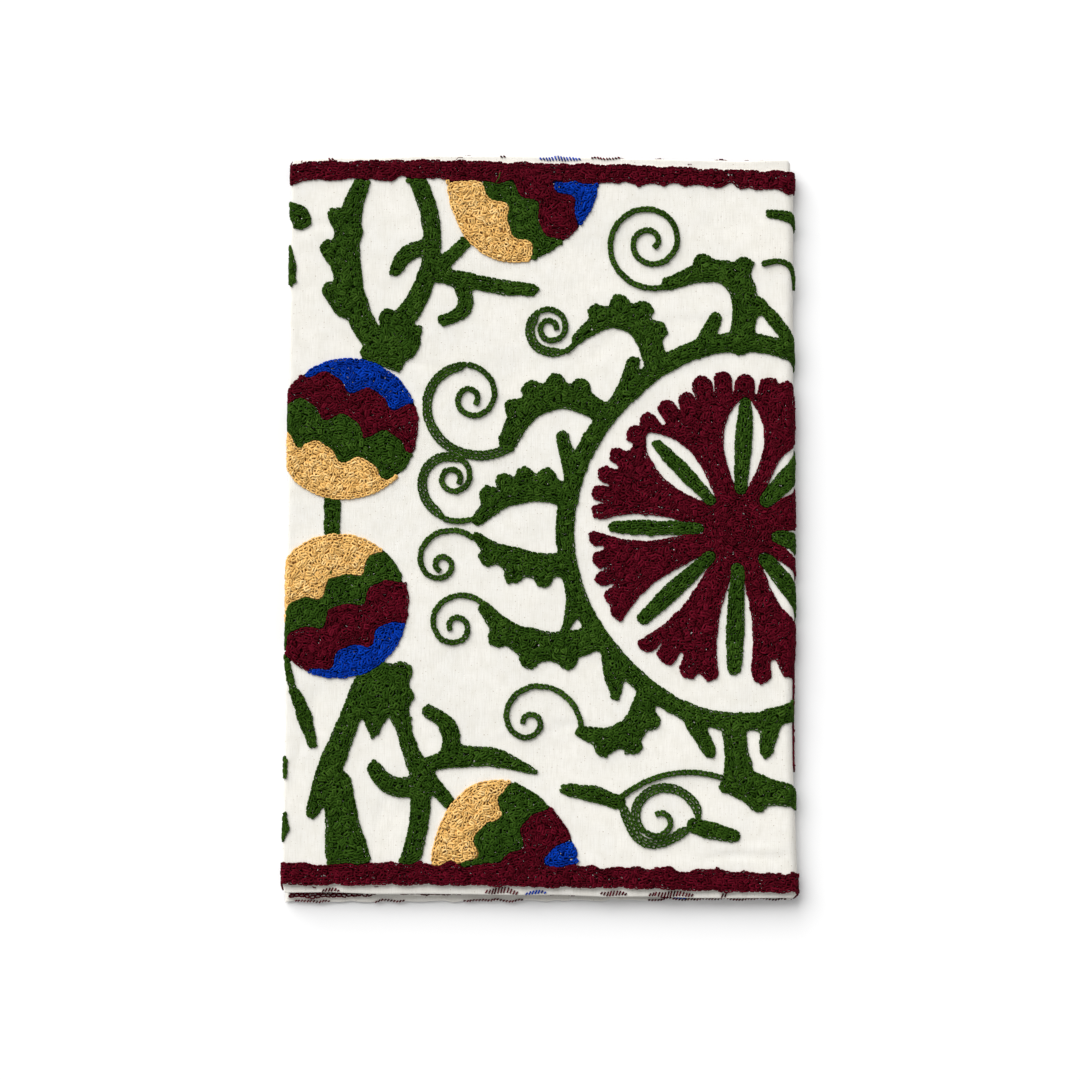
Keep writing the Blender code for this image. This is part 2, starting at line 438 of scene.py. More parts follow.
# Every place below is as seen: x to the right and y up from the middle of the view.
# Green stems and branches: from, to, bow, and widths spaced evenly along them
Stem = namedtuple("Stem", "start end bow widths")
STEMS = (
    # the lobed stem at the upper left
    Stem((-87, 178), (-81, 91), -13, (8, 15, 12)),
    Stem((-102, 157), (-95, 149), 0, (9, 13)),
    Stem((-106, 141), (-99, 135), 0, (9, 13)),
    Stem((-105, 120), (-97, 113), 0, (9, 15)),
    # the stem beside it, with its hooks and branches
    Stem((-63, 178), (-71, 102), 13, (10, 9, 12)),
    Stem((-54, 141), (-72, 130), -4, (8, 9, 7)),
    Stem((-51, 131), (-36, 145), 0, (8, 7)),
    Stem((-50, 128), (-4, 120), -1, (9, 7)),
    Stem((-41, 124), (-49, 105), 8, (8, 8, 6)),
    # the cup between them and the upper fruit
    Stem((-84, 89), (-67, 94), 0, (12, 20, 15)),
    Stem((-76, 107), (-74, 97), 0, (9, 12)),
    Stem((-63, 99), (-69, 95), 0, (8, 12)),
    Stem((-65, 90), (-71, 89), 0, (8, 12)),
    Stem((-74, 88), (-71, 81), 0, (15, 5)),
    # pieces that the left fold cuts
    Stem((-126, 161), (-119, 155), 1, (8, 10)),
    Stem((-126, 141), (-125, 125), 0, (3, 8, 6)),
    Stem((-128, -63), (-124, -77), 0, (4, 4)),
    Stem((-123, -81), (-114, -107), 1, (6, 8, 5)),
    Stem((-128, -114), (-128, -123), 0, (3, 4, 3)),
    Stem((-128, -142), (-129, -155), 1, (3, 5, 2)),
    # between the two fruits
    Stem((-104, 18), (-104, -2), 0, (9, 8)),
    # the cup under the lower fruit, with its two stems
    Stem((-80, -72), (-84, -103), 0, (14, 21, 13, 3)),
    Stem((-69, -71), (-75, -75), 0, (11, 15)),
    Stem((-67, -83), (-74, -84), 0, (9, 14)),
    Stem((-88, -76), (-114, -141), 0, (11, 11, 13, 7)),
    Stem((-102, -128), (-103, -173), 0, (13, 10, 9)),
    Stem((-101, -126), (-90, -172), 0, (13, 12, 15)),
    Stem((-72, -80), (-60, -121), -2, (14, 8, 10)),
    Stem((-60, -119), (-3, -121), 7, (7, 11, 10, 4)),
    Stem((-56, -91), (-45, -110), 5, (7, 9, 9)),
    Stem((-59, -126), (-83, -119), 6, (10, 10, 8)),
    Stem((-58, -121), (-46, -136), 0, (8, 7)),
    Stem((-60, -124), (-68, -173), 3, (11, 10, 11)),
    # buds round the great ring
    Stem((88, 106), (80, 90), 0, (7, 9)),
    Stem((47, 84), (41, 67), 0, (7, 9)),
    Stem((11, 47), (16, 29), 0, (7, 9)),
    Stem((17, -27), (12, -50), 2, (9, 8, 4)),
    Stem((36, -62), (38, -83), 0, (11, 11, 5)),
    Stem((77, -96), (85, -111), 0, (10, 7)),
    Stem((116, -94), (113, -111), 0, (11, 7)),
    Stem((114, 109), (131, 88), 0, (7, 8)),
    Stem((115, 158), (134, 151), 2, (5, 6, 5)),
    # the forked stem below the ring, and the stubs on its tendril
    Stem((97, -99), (100, -125), 0, (12, 12, 17)),
    Stem((101, -127), (134, -134), -1, (17, 13, 10)),
    Stem((94, -128), (99, -126), 0, (9, 14)),
    Stem((109, -137), (107, -132), 0, (9, 13)),
    Stem((13, -130), (39, -136), 1, (6, 9, 8)),
    Stem((77, -148), (97, -153), 0, (8, 9, 7)),
)

# Leaves on the ring's outer side: a bowed body from tip to root, with lobes along its outer side
Leaf = namedtuple("Leaf", "tip root bow widths lobes")
LEAVES = (
    Leaf((64, 123), (100, 93), 24, (7, 15, 12), 3),
    Leaf((18, 95), (58, 82), 19, (6, 15, 12), 4),
    Leaf((-16, 44), (32, 58), 16, (10, 15, 11), 4),
    Leaf((-31, 5), (14, 17), 9, (7, 14, 12), 4),
    Leaf((-32, -3), (13, -17), -6, (5, 14, 12), 3),
    Leaf((-28, -39), (27, -54), -11, (7, 16, 14), 3),
    Leaf((21, -101), (53, -82), -12, (7, 14, 11), 3),
)
LOBE_WIDTH = 10.6
LOBE_SHARES = (0.22, 0.78)
# How far from the body's middle its lobes stand, as a share of its width
LOBE_AT = 0.47

# Tendrils of single rows. A spiral winds in from its start to its centre, faster with a larger winding.
# A second row runs beside a tendril between two shares of its length, on its right or, at -1, its left.
Spiral = namedtuple("Spiral", "start centre turns end_radius winding double side")
SPIRALS = (
    Spiral((64, 122), (55, 144), -1.95, 3.6, 1.3, None, 1),
    Spiral((18, 94), (5, 101), -1.95, 3.4, 1.5, (0.04, 0.30), 1),
    Spiral((-13, 41), (-35, 66), -2.0, 4.0, 2.3, (0.0, 0.30), 1),
    Spiral((-32, 6), (-44, 26), -1.95, 4.3, 2.6, (0.06, 0.35), 1),
    Spiral((-33, -4), (-49, -17), 1.6, 3.6, 3.2, None, 1),
    Spiral((-27, -38), (-42, -48), 1.5, 3.6, 2.0, None, 1),
    Spiral((21, -100), (-5, -96), 1.55, 3.8, 2.6, None, 1),
    Spiral((79, -145), (60, -145), 1.35, 3.4, 1.6, (0.0, 0.45), 1),
)
Runner = namedtuple("Runner", "start end bow double side")
RUNNERS = (
    Runner((111, 133), (130, 121), 7, None, 1),
    Runner((92, -124), (40, -134), -7, None, 1),
    Runner((40, -136), (76, -149), -16, (0.0, 1.0), -1),
)
BESIDE_GAP = 2.5
# How long the second row takes to part from the first and to join it again
MERGE_RUN = 5.0

# The great ring, carried on round the right fold
RING_CENTRE = (100.0, -1.0)
RING_RADII = (86.2, 93.6)
RING_SWELLS = ((4, 0.015, math.pi / 2),)
RING_WIDTH = 9.6
RING_POINTS = 24

# The rosette inside it: a disc with two bays in its edge, given by angle, depth and half width in
# degrees, and groups of evenly set fingers from one angle to another
ROSETTE_CENTRE = (99.5, 0.5)
ROSETTE_REACH = 68.0
ROSETTE_BAYS = ((126, 4, 10), (222, 4, 9))
ROSETTE_STEP = 6
FingerGroup = namedtuple("FingerGroup", "first last count reach")
FINGER_GROUPS = (
    FingerGroup(4, 33, 4, 75.5),
    FingerGroup(53, 105, 7, 79.0),
    FingerGroup(113, 138, 4, 75.0),
    FingerGroup(149, 173, 4, 75.5),
    FingerGroup(184, 207, 4, 76.4),
    FingerGroup(214, 232, 2, 78.0),
    FingerGroup(241, 259, 3, 78.5),
    FingerGroup(279, 301, 3, 78.5),
    FingerGroup(319, 346, 4, 76.0),
)
FINGER_ROOT = 50.0
FINGER_SHARE = 0.85
WIDEST_FINGER = 10.4
# How much the fingers vary in width, reach and angle, and how wide their roots are, as a share
FINGER_VARY = (0.5, 1.2, 0.8)
FINGER_ROOT_SHARE = 0.8

# A strip of maroon on the outer wrap that just shows past the right edge
WRAP_STRIP = ((130.5, -73, 4), (131, -95, 4), (131, -118, 4))

# The rosette's slender leaves lie along its rays, each in a bare patch: the angle, and the reach and
# width of each
RosetteLeaf = namedtuple("RosetteLeaf", "angle reach width patch_reach patch_width")
ROSETTE_LEAVES = (
    RosetteLeaf(87, 66, 9.0, 66, 20),
    RosetteLeaf(134, 62, 8.0, 66, 19),
    RosetteLeaf(179, 66, 8.0, 74, 13),
    RosetteLeaf(223, 69, 9.0, 84, 18),
    RosetteLeaf(268, 74, 9.4, 88, 18),
    RosetteLeaf(311, 60, 10.0, 66, 19),
    RosetteLeaf(348, 50, 10.0, 56, 17),
    RosetteLeaf(46, 60, 11.0, 64, 18),
)
LEAF_NEAR = 20.0
# How wide a leaf and its patch are at their ends, as shares of their middles
LEAF_ENDS = 0.72
PATCH_ENDS = 0.28
LENS_POINTS = 9
LENS_SKEW = 1.25

# The four fruits: uneven rounds in bands of colour. The bands follow one another in the direction
# "across", in degrees, and change at the cuts, which are distances from the centre.
Fruit = namedtuple("Fruit", "centre radii swells colours across cuts")
FRUITS = (
    Fruit((-97, 50.6), (36, 36), ((2, 0.02, 0.6),), (BLUE, MAROON, GREEN, TAN), -112, (-21, -4, 13)),
    Fruit((-101, -38), (35, 37), ((2, 0.014, 1.2),), (TAN, GREEN, MAROON, BLUE), -60, (-11, 2, 22)),
    Fruit((-10, 172), (38, 37), ((3, 0.05, 0.8),), (TAN, GREEN, MAROON, BLUE), 32, (-14, 0, 17)),
    Fruit((-19, -165), (37, 39), ((3, 0.05, 2.4),), (TAN, GREEN, MAROON, BLUE), -31, (-15, 2, 20)),
)
SEAM_WAVE_LENGTH = 23.0
SEAM_WAVE_DEPTH = 3.0
SEAM_PHASE = 1.9
SEAM_RIPPLE = 0.35

# The borders along the lower and the upper edge: their widths, which wander in short and in slow lumps,
# and their tails at both folds, which stand a little in from the left one and out from the right one
BORDER_WIDTHS = (10.6, 10.0)
BORDER_WANDER = 1.8
BORDER_LUMP = 5.0
BORDER_SLOW = 0.5
BORDER_SLOW_LUMP = 22.0
BORDER_TAILS = (1.0, 3.0)
TAIL_PLACES = (1.5, 2.5)
TAIL_REACH = 2.0
# Before this place lies the maroon border of the third layer's end
END_BORDER = -178.0
# Before this place, past the left fold, the pattern is its own mirror image
FOLDED_OVER = -135.0
# How unevenly the edges of all areas are sewn, in lumps of this length
WOBBLE = 0.36
WOBBLE_LENGTH = 3.2
# Closer to the long edges than this the rows stay even
RIM_STRIP = 2
# Half the spread of the smooth noise, in its own deviations
NOISE_SPREAD = 2.2


def round_noise(length, seed, shape=pattern.shape):
    """Smooth noise over the pattern grid, from about -1 to 1, with lumps about this long."""
    white = np.random.RandomState(seed).normal(size=shape)
    fade = []
    for size in shape:
        wave = np.fft.fftfreq(size, CELL)
        fade.append(np.exp(-((wave * length) ** 2) * 2.0))
    smooth = np.fft.ifft2(np.fft.fft2(white) * fade[0][:, None] * fade[1][None, :]).real
    return smooth / (NOISE_SPREAD * smooth.std())


def ray_point(angle, reach, *more):
    """A row that starts with the x and y at an angle and reach from the rosette's centre."""
    turn = math.radians(angle)
    x = ROSETTE_CENTRE[0] + reach * math.cos(turn)
    y = ROSETTE_CENTRE[1] + reach * math.sin(turn)
    return (x, y, *more)


def outlined(outline):
    """The slice of the pattern grid round a smooth closed outline, its places, and which lie inside."""
    edge = placed(curve(outline, closed=True))
    low, high = edge.min(0) - 1, edge.max(0) + 1
    part, along, over = window(low[0], high[0], low[1], high[1])
    return part, along, over, inside_outline(edge, along, over)


def lens(angle, far, width, ends):
    """Rows of a slender leaf along one of the rosette's rays, widest in its middle."""
    shares = np.linspace(0, 1, LENS_POINTS)
    widths = width * (ends + (1 - ends) * np.sin(np.pi * shares**LENS_SKEW))
    reaches = LEAF_NEAR + shares * (far - width * ends / 2 - LEAF_NEAR)
    return [ray_point(angle, reach, wide) for reach, wide in zip(reaches, widths)]


def rosette_edge():
    """The edge of the rosette's disc, with its bays."""
    angles = np.arange(0, 360, ROSETTE_STEP)
    reach = np.full(len(angles), ROSETTE_REACH)
    for angle, depth, half_width in ROSETTE_BAYS:
        reach -= depth * np.exp(-(((angles - angle) / half_width) ** 2))
    return [ray_point(angle, far) for angle, far in zip(angles, reach)]


def paint_rosette():
    """The disc and its fingers, then the bare patches, then the leaves."""
    uneven = np.random.RandomState(23)
    part, _, _, inside = outlined(rosette_edge())
    pattern[part][inside] = MAROON
    vary_width, vary_reach, vary_angle = FINGER_VARY
    for group in FINGER_GROUPS:
        angles, apart = np.linspace(group.first, group.last, group.count, retstep=True)
        room = FINGER_SHARE * group.reach * math.radians(apart)
        for angle in angles:
            width = min(WIDEST_FINGER, room) + uneven.uniform(-vary_width, vary_width)
            tip = group.reach - width / 2 + uneven.uniform(-vary_reach, vary_reach)
            angle += uneven.uniform(-vary_angle, vary_angle)
            root = ray_point(angle, FINGER_ROOT, FINGER_ROOT_SHARE * width)
            stroke([root, ray_point(angle, tip, width)], MAROON)
    for leaf in ROSETTE_LEAVES:
        stroke(lens(leaf.angle, leaf.patch_reach, leaf.patch_width, PATCH_ENDS), GROUND)
    for leaf in ROSETTE_LEAVES:
        stroke(lens(leaf.angle, leaf.reach, leaf.width, LEAF_ENDS))


def paint_leaf(leaf):
    """A bowed body with round lobes along its outer side."""
    body = bowed(leaf.tip, leaf.root, leaf.bow)
    rows = with_widths(body, leaf.widths)
    stroke(rows)
    ahead = np.gradient(body, axis=0)
    ahead /= np.hypot(*ahead.T)[:, None]
    outward = np.sign(leaf.bow) * np.stack([-ahead[:, 1], ahead[:, 0]], axis=1)
    outer = body + LOBE_AT * rows[:, 2:] * outward
    shares = np.linspace(0, 1, len(body))
    for share in np.linspace(*LOBE_SHARES, leaf.lobes):
        x, y = (np.interp(share, shares, column) for column in outer.T)
        stroke([(x, y, LOBE_WIDTH)])


def paint_fruit(fruit):
    """An uneven round in bands of colour, whose seams run in waves."""
    part, along, over, body = outlined(round_outline(fruit.centre, fruit.radii, fruit.swells))
    centre = placed([fruit.centre])[0]
    turn = math.radians(fruit.across)
    away = (along - centre[0]) * math.cos(turn) + (over - centre[1]) * math.sin(turn)
    run = (over - centre[1]) * math.cos(turn) - (along - centre[0]) * math.sin(turn)
    band = np.zeros(away.shape, int)
    for number, limit in enumerate(fruit.cuts):
        wave = math.tau * run / SEAM_WAVE_LENGTH + SEAM_PHASE * number
        band += away + SEAM_WAVE_DEPTH * (np.sin(wave) + SEAM_RIPPLE * np.sin(2 * wave + 1)) > limit
    pattern[part][body] = np.array(fruit.colours)[band[body]]


def paint_borders():
    """The maroon band along both long edges and round the folds, with its uneven inner side."""
    along = GRID_ALONG[None, :]
    over = GRID_OVER[:, None]
    left, right = fold_axes(np.array([0.0, 1.0]))
    for end, edge_row in ((0, over), (1, PANEL_WIDTH - over)):
        wander = round_noise(BORDER_LUMP, 31 + end)[len(GRID_OVER) // 2][None, :]
        slow = round_noise(BORDER_SLOW_LUMP, 41 + end)[len(GRID_OVER) // 2][None, :]
        near_left = abs(along - left[end] + TAIL_PLACES[0])
        near = np.minimum(near_left, abs(along - right[end] - TAIL_PLACES[1]))
        tail = BORDER_TAILS[end] * np.exp(-((near / TAIL_REACH) ** 2))
        width = BORDER_WIDTHS[end] + BORDER_WANDER * wander + BORDER_SLOW * slow + tail
        pattern[edge_row < width] = MAROON


def uneven_edges():
    """Shifts the pattern a little to and fro, but not at the rims, and clears what lies past them."""
    shift = round_noise(WOBBLE_LENGTH, 5) * WOBBLE / CELL
    turn = round_noise(WOBBLE_LENGTH, 6) * WOBBLE / CELL
    rows, columns = np.indices(pattern.shape)
    own_rows = rows
    rows = np.clip(np.rint(rows + shift).astype(int), 0, pattern.shape[0] - 1)
    columns = np.clip(np.rint(columns + turn).astype(int), 0, pattern.shape[1] - 1)
    rims = (GRID_OVER < RIM_STRIP) | (GRID_OVER > PANEL_WIDTH - RIM_STRIP)
    rows[rims] = own_rows[rims]
    pattern[:] = pattern[rows, columns]
    pattern[(GRID_OVER < 0) | (GRID_OVER > PANEL_WIDTH)] = GROUND
    pattern[:, :2] = GROUND
    pattern[:, -2:] = GROUND


def draw_pattern():
    """Fills the pattern grid with the colour of the embroidery at each place."""
    paint_rosette()
    ring = round_outline(RING_CENTRE, RING_RADII, RING_SWELLS, RING_POINTS)
    stroke(with_widths(ring, (RING_WIDTH,)), GREEN, closed=True)
    for stem in STEMS:
        stroke(with_widths(bowed(stem.start, stem.end, stem.bow), stem.widths))
    for leaf in LEAVES:
        paint_leaf(leaf)
    for fruit in FRUITS:
        paint_fruit(fruit)
    stroke(WRAP_STRIP, MAROON)
    paint_borders()
    folded = int((FOLDED_OVER - LOW_ALONG) / CELL)
    pattern[:, :folded] = pattern[:, 2 * folded : folded : -1]
    pattern[:, GRID_ALONG < END_BORDER] = MAROON
    uneven_edges()


draw_pattern()

# ---------------------------------------------------------------- rows of chain stitch

ROW_WIDTH = 2.08
LINK_PITCH = 2.6
# The depth, in cells, past which a place counts as no deeper
DEEPEST = 68


def depth_inside(mask):
    """How far each cell of a mask lies from its edge, in mm."""
    rows = mask.shape[0]
    index = np.arange(rows)[:, None]
    last_out = np.maximum.accumulate(np.where(mask, -DEEPEST, index), axis=0)
    next_out = np.minimum.accumulate(np.where(mask, rows + DEEPEST, index)[::-1], axis=0)[::-1]
    straight = np.minimum(np.minimum(index - last_out, next_out - index), DEEPEST).astype(np.float32)
    squared = straight**2
    nearest = squared.copy()
    for step in range(1, DEEPEST):
        if nearest.max() <= step * step:
            break
        nearest[:, step:] = np.minimum(nearest[:, step:], squared[:, :-step] + step * step)
        nearest[:, :-step] = np.minimum(nearest[:, :-step], squared[:, step:] + step * step)
    depth = np.sqrt(nearest) - 0.5
    depth[~mask] = -0.5
    for axis in (0, 1):
        depth = (np.roll(depth, 1, axis) + 2 * depth + np.roll(depth, -1, axis)) / 4
    return depth * CELL


# The sides of a grid cell are 0 at its bottom, 1 at its right, 2 at its top and 3 at its left.
# For each case of corners above the level, the sides where its line enters and leaves
CASE_LINES = {
    1: ((0, 3),), 2: ((1, 0),), 3: ((1, 3),), 4: ((2, 1),), 5: ((0, 3), (2, 1)), 6: ((2, 0),),
    7: ((2, 3),), 8: ((3, 2),), 9: ((0, 2),), 10: ((1, 0), (3, 2)), 11: ((1, 2),), 12: ((3, 1),),
    13: ((0, 1),), 14: ((3, 0),),
}


def level_lines(field, level):
    """Closed lines round the places where a field passes a level, as (along, over) points."""
    above = field > level
    rows, columns = field.shape
    corner = (above[:-1, :-1], above[:-1, 1:], above[1:, 1:], above[1:, :-1])
    case = sum(c.astype(np.int8) << i for i, c in enumerate(corner))
    starts, ends = [], []
    for number, lines in CASE_LINES.items():
        row, column = np.nonzero(case == number)
        base = row * columns + column
        side_keys = (2 * base, 2 * (base + 1) + 1, 2 * (base + columns), 2 * base + 1)
        for enter, leave in lines:
            starts.append(side_keys[enter])
            ends.append(side_keys[leave])
    starts = np.concatenate(starts)
    ends = np.concatenate(ends)
    following = dict(zip(starts.tolist(), ends.tolist()))
    loops = []
    while following:
        first, key = following.popitem()
        loop = [first]
        while key != first:
            loop.append(key)
            key = following.pop(key, first)
        loops.append(level_points(np.array(loop), field, level, columns))
    return loops


# Points keep this share of a cell's side away from its corners
CORNER_GAP = 0.02


def level_points(keys, field, level, columns):
    """Where the sides of grid cells, given by their keys, pass the level."""
    base = keys // 2
    upright = keys % 2
    row, column = base // columns, base % columns
    start = field[row, column]
    end = field[row + upright, column + 1 - upright]
    share = np.clip((level - start) / (end - start), CORNER_GAP, 1 - CORNER_GAP)
    along = GRID_ALONG[0] + CELL * (column + share * (1 - upright))
    over = GRID_OVER[0] + CELL * (row + share * upright)
    return np.stack([along, over], axis=1)


def evenly(line, spacing, closed):
    """The line again, as points about this far apart."""
    if closed:
        line = np.concatenate([line, line[:1]])
    steps = np.hypot(*np.diff(line, axis=0).T)
    run = np.concatenate([[0], np.cumsum(steps)])
    count = max(1, int(round(run[-1] / spacing)))
    at = np.linspace(0, run[-1], count + 1)
    return np.stack([np.interp(at, run, line[:, i]) for i in (0, 1)], axis=1)


def smoothed(line, passes=3):
    """A closed line with its corners rounded off."""
    for _ in range(passes):
        line = (np.roll(line, 1, axis=0) + 2 * line + np.roll(line, -1, axis=0)) / 4
    return line


# Kinds of link: their half width, yarn radius, and how much their place, slant and size vary
Kind = namedtuple("Kind", "half radius stray slant vary lift")
ROPE = Kind(1.12, 0.92, 0.05, 0.05, 0.05, 0.06)
OPEN = Kind(0.96, 0.70, 0.04, 0.05, 0.05, 0.06)
OUTLINE = Kind(0.82, 0.56, 0.04, 0.05, 0.06, 0.16)
INNER = Kind(0.84, 0.58, 0.10, 0.18, 0.10, 0.30)
FILL = Kind(0.90, 0.60, 0.0, 0.0, 0.14, 0.42)

# Every link and strand, as rows of these. A strand is a link with one leg, and its half is its bend.
FIELDS = ("along", "over", "turn", "length", "half", "radius", "lift", "colour", "shade", "strand")
LINKS = []
# Which cells the links cover, and which stay open as the needle holes in their heads
taken = np.zeros(pattern.shape, bool)
holes = np.zeros(pattern.shape, bool)
# Points over a whole link and on its legs, as shares of its length and half width
WHOLE_LINK = np.array(
    [(run, off) for run in np.linspace(0.1, 0.95, 6) for off in np.linspace(-0.9, 0.9, 5)]
)
LINK_LEGS = np.array([(0.0, 0.0), (0.3, -0.6), (0.3, 0.6), (0.7, -0.7), (0.7, 0.7), (1.0, 0.0)])
HOLE_AT = 0.62
HOLE_REACH = 0.50
SIZE_LIMITS = (0.7, 1.4)


def cells_at(along, over):
    """The pattern cells at places on the panel, as rows and columns."""
    column = np.clip(((along - GRID_ALONG[0]) / CELL).round().astype(int), 0, pattern.shape[1] - 1)
    row = np.clip(((over - GRID_OVER[0]) / CELL).round().astype(int), 0, pattern.shape[0] - 1)
    return row, column


def cells_under(start, turn, length, half_width, shape):
    """The pattern cells under points of a link, which are given as shares of its length and width."""
    run = shape[:, 0] * length
    off = shape[:, 1] * half_width
    along = start[0] + run * math.cos(turn) - off * math.sin(turn)
    over = start[1] + run * math.sin(turn) + off * math.cos(turn)
    return cells_at(along, over)


def add_link(start, turn, length, colour, kind, room=1.0, clear=False):
    """Adds a link unless more than its share of room is taken, or its legs would close a hole."""
    cells = cells_under(start, turn, length, kind.half + kind.radius, WHOLE_LINK)
    if taken[cells].mean() > room:
        return
    if clear and holes[cells_under(start, turn, length, kind.half, LINK_LEGS)].sum() > 1:
        return
    taken[cells] = True
    along = start[0] + random.normal(0, kind.stray)
    over = start[1] + random.normal(0, kind.stray)
    turn = turn + random.normal(0, kind.slant)
    reach = np.array([-HOLE_REACH, 0.0, HOLE_REACH])
    head_along = along + HOLE_AT * length * math.cos(turn)
    head_over = over + HOLE_AT * length * math.sin(turn)
    holes[cells_at(*np.meshgrid(head_along + reach, head_over + reach))] = True
    sizes = np.clip(random.normal(1, kind.vary, 3), *SIZE_LIMITS)
    lift = random.uniform(0, kind.lift)
    shade = random.uniform(0, 1)
    size = (length * sizes[0], kind.half * sizes[1], kind.radius * sizes[2])
    LINKS.append((along, over, turn, *size, lift, colour, shade, 0))


def sew_row(points, colour, kind, room=1.0):
    """Adds links from each point of a row to the next."""
    steps = np.diff(points, axis=0)
    turns = np.arctan2(steps[:, 1], steps[:, 0])
    lengths = np.hypot(*steps.T)
    for point, turn, length in zip(points, turns, lengths):
        add_link(point, turn, length, colour, kind, room)


SPIRAL_POINTS = 40
TENDRIL_STEP = 0.5
TENDRIL_ROOM = 0.62


def spiral_line(spiral):
    """Points along a spiral, as seen."""
    first = np.array(spiral.start, float) - spiral.centre
    share = np.linspace(0, 1, SPIRAL_POINTS)
    radius = np.hypot(*first) - spiral.end_radius
    radius = spiral.end_radius + radius * (1 - share) ** spiral.winding
    turn = math.atan2(first[1], first[0]) + math.tau * spiral.turns * share
    return spiral.centre + radius[:, None] * np.stack([np.cos(turn), np.sin(turn)], axis=1)


def sew_tendrils():
    """Single rows of thick links along the tendrils, and double rows of open ones."""
    lines = [(spiral_line(spiral), spiral) for spiral in SPIRALS]
    lines += [(bowed(runner.start, runner.end, runner.bow), runner) for runner in RUNNERS]
    for points, tendril in lines:
        shares = np.linspace(0, 1, len(points))
        line = curve(placed(np.column_stack([points, shares])), TENDRIL_STEP)
        line, shares = line[:, :2], line[:, 2]
        first, last = tendril.double or (0.0, 0.0)
        double = (shares >= first) & (shares <= last)
        ahead = np.gradient(line, axis=0)
        ahead /= np.hypot(*ahead.T)[:, None]
        run = np.concatenate([[0], np.cumsum(np.hypot(*np.diff(line, axis=0).T))])
        ends = np.interp((first, last), shares, run)
        parted = eased(np.clip(np.minimum(run - ends[0], ends[1] - run) / MERGE_RUN, 0, 1))
        away = BESIDE_GAP * tendril.side * parted[:, None]
        beside = line + away * np.stack([ahead[:, 1], -ahead[:, 0]], axis=1)
        for row in (line[double], beside[double]):
            if len(row) > 1:
                sew_row(evenly(row, LINK_PITCH, False), GREEN, OPEN, TENDRIL_ROOM)
        for row in (line[shares <= first], line[shares >= last]):
            if len(row) > 1:
                sew_row(evenly(row, LINK_PITCH, False), GREEN, ROPE, TENDRIL_ROOM)


# The rows along an area's outline, from its edge inwards: the kind of link, and how much of a link's
# room may be taken already
OUTLINE_ROWS = ((OUTLINE, 0.62), (INNER, 0.42))
# The shortest loop that is sewn, in links, and how many loops run the other way round
SHORTEST_LOOP = 2.2
REVERSED_SHARE = 0.4
# The rosette's middle is sewn in rings
ROSETTE_HEART = 14.0
HEART_ROOM = 0.5
# How the slant of the filling swirls: in lumps of this length, and by this much
SWIRL_LENGTH = 4.5
SWIRL_TURN = 2.6


def sew_outline(depth, colour):
    """Rows of links round an area's outline, in each row the longest loops first."""
    for number, (kind, room) in enumerate(OUTLINE_ROWS):
        loops = level_lines(depth, ROW_WIDTH * (number + 0.5))
        for loop in sorted(loops, key=len, reverse=True):
            line = smoothed(loop)
            if np.hypot(*np.diff(line, axis=0).T).sum() < SHORTEST_LOOP * LINK_PITCH:
                continue
            points = evenly(line, LINK_PITCH, True)
            if random.uniform() < REVERSED_SHARE:
                points = points[::-1]
            sew_row(points, colour, kind, room)


def sew_heart():
    """Rings of links round the middle of the rosette."""
    heart = on_cloth(*(np.array([value]) for value in ROSETTE_CENTRE))
    for radius in np.arange(ROW_WIDTH / 2, ROSETTE_HEART, ROW_WIDTH):
        turn = np.arange(0, math.tau + 0.01, math.tau / round(math.tau * radius / LINK_PITCH))
        ring = np.stack([np.cos(turn), np.sin(turn)], axis=1) * radius
        sew_row(ring + np.concatenate(heart), MAROON, INNER, HEART_ROOM)


def sew_areas():
    """Rows round each area's outline, then links at every slant over the rest."""
    swirl = round_noise(SWIRL_LENGTH, 17) * SWIRL_TURN
    for colour in (MAROON, GREEN, TAN, BLUE):
        depth = depth_inside(pattern == colour)
        sew_outline(depth, colour)
        if colour == MAROON:
            sew_heart()
        fill_area(depth, colour, swirl)
        lay_strands(depth, colour, swirl)


# Filling starts this far inside an area. Up to the near depth its links lie along the outline, at least
# the inset from it; deeper in they lie in swirls. Both have their lengths and a spread of their slant.
FILL_FROM = 0.5
NEAR_DEPTH = 2.6
NEAR_INSET = 1.1
NEAR_LENGTHS = (1.7, 2.4)
NEAR_SLANT = 0.12
FILL_LENGTHS = (2.5, 3.9)
FILL_SLANT = 0.9
FILL_ROOM = 0.55


def fill_area(depth, colour, swirl):
    """Links wherever an area is still bare: at every slant in swirls, but along a near outline."""
    uphill_over, uphill_along = np.gradient(depth)
    bare_rows, bare_columns = np.nonzero((depth > FILL_FROM) & ~taken)
    for i in random.permutation(len(bare_rows)):
        row, column = bare_rows[i], bare_columns[i]
        if taken[row, column]:
            continue
        inside = depth[row, column]
        middle = np.array([GRID_ALONG[column], GRID_OVER[row]])
        flip = math.pi * random.randint(2)
        if inside < NEAR_DEPTH:
            uphill = np.array([uphill_along[row, column], uphill_over[row, column]])
            uphill /= np.hypot(*uphill) + 1e-6
            middle += uphill * max(0.0, NEAR_INSET - inside)
            turn = math.atan2(-uphill[0], uphill[1]) + random.normal(0, NEAR_SLANT) + flip
            length = random.uniform(*NEAR_LENGTHS)
        else:
            turn = swirl[row, column] + random.normal(0, FILL_SLANT) + flip
            length = random.uniform(*FILL_LENGTHS)
        start = middle - 0.5 * length * np.array([math.cos(turn), math.sin(turn)])
        kind = FILL if inside > NEAR_DEPTH else INNER
        add_link(start, turn, length, colour, kind, FILL_ROOM, clear=True)


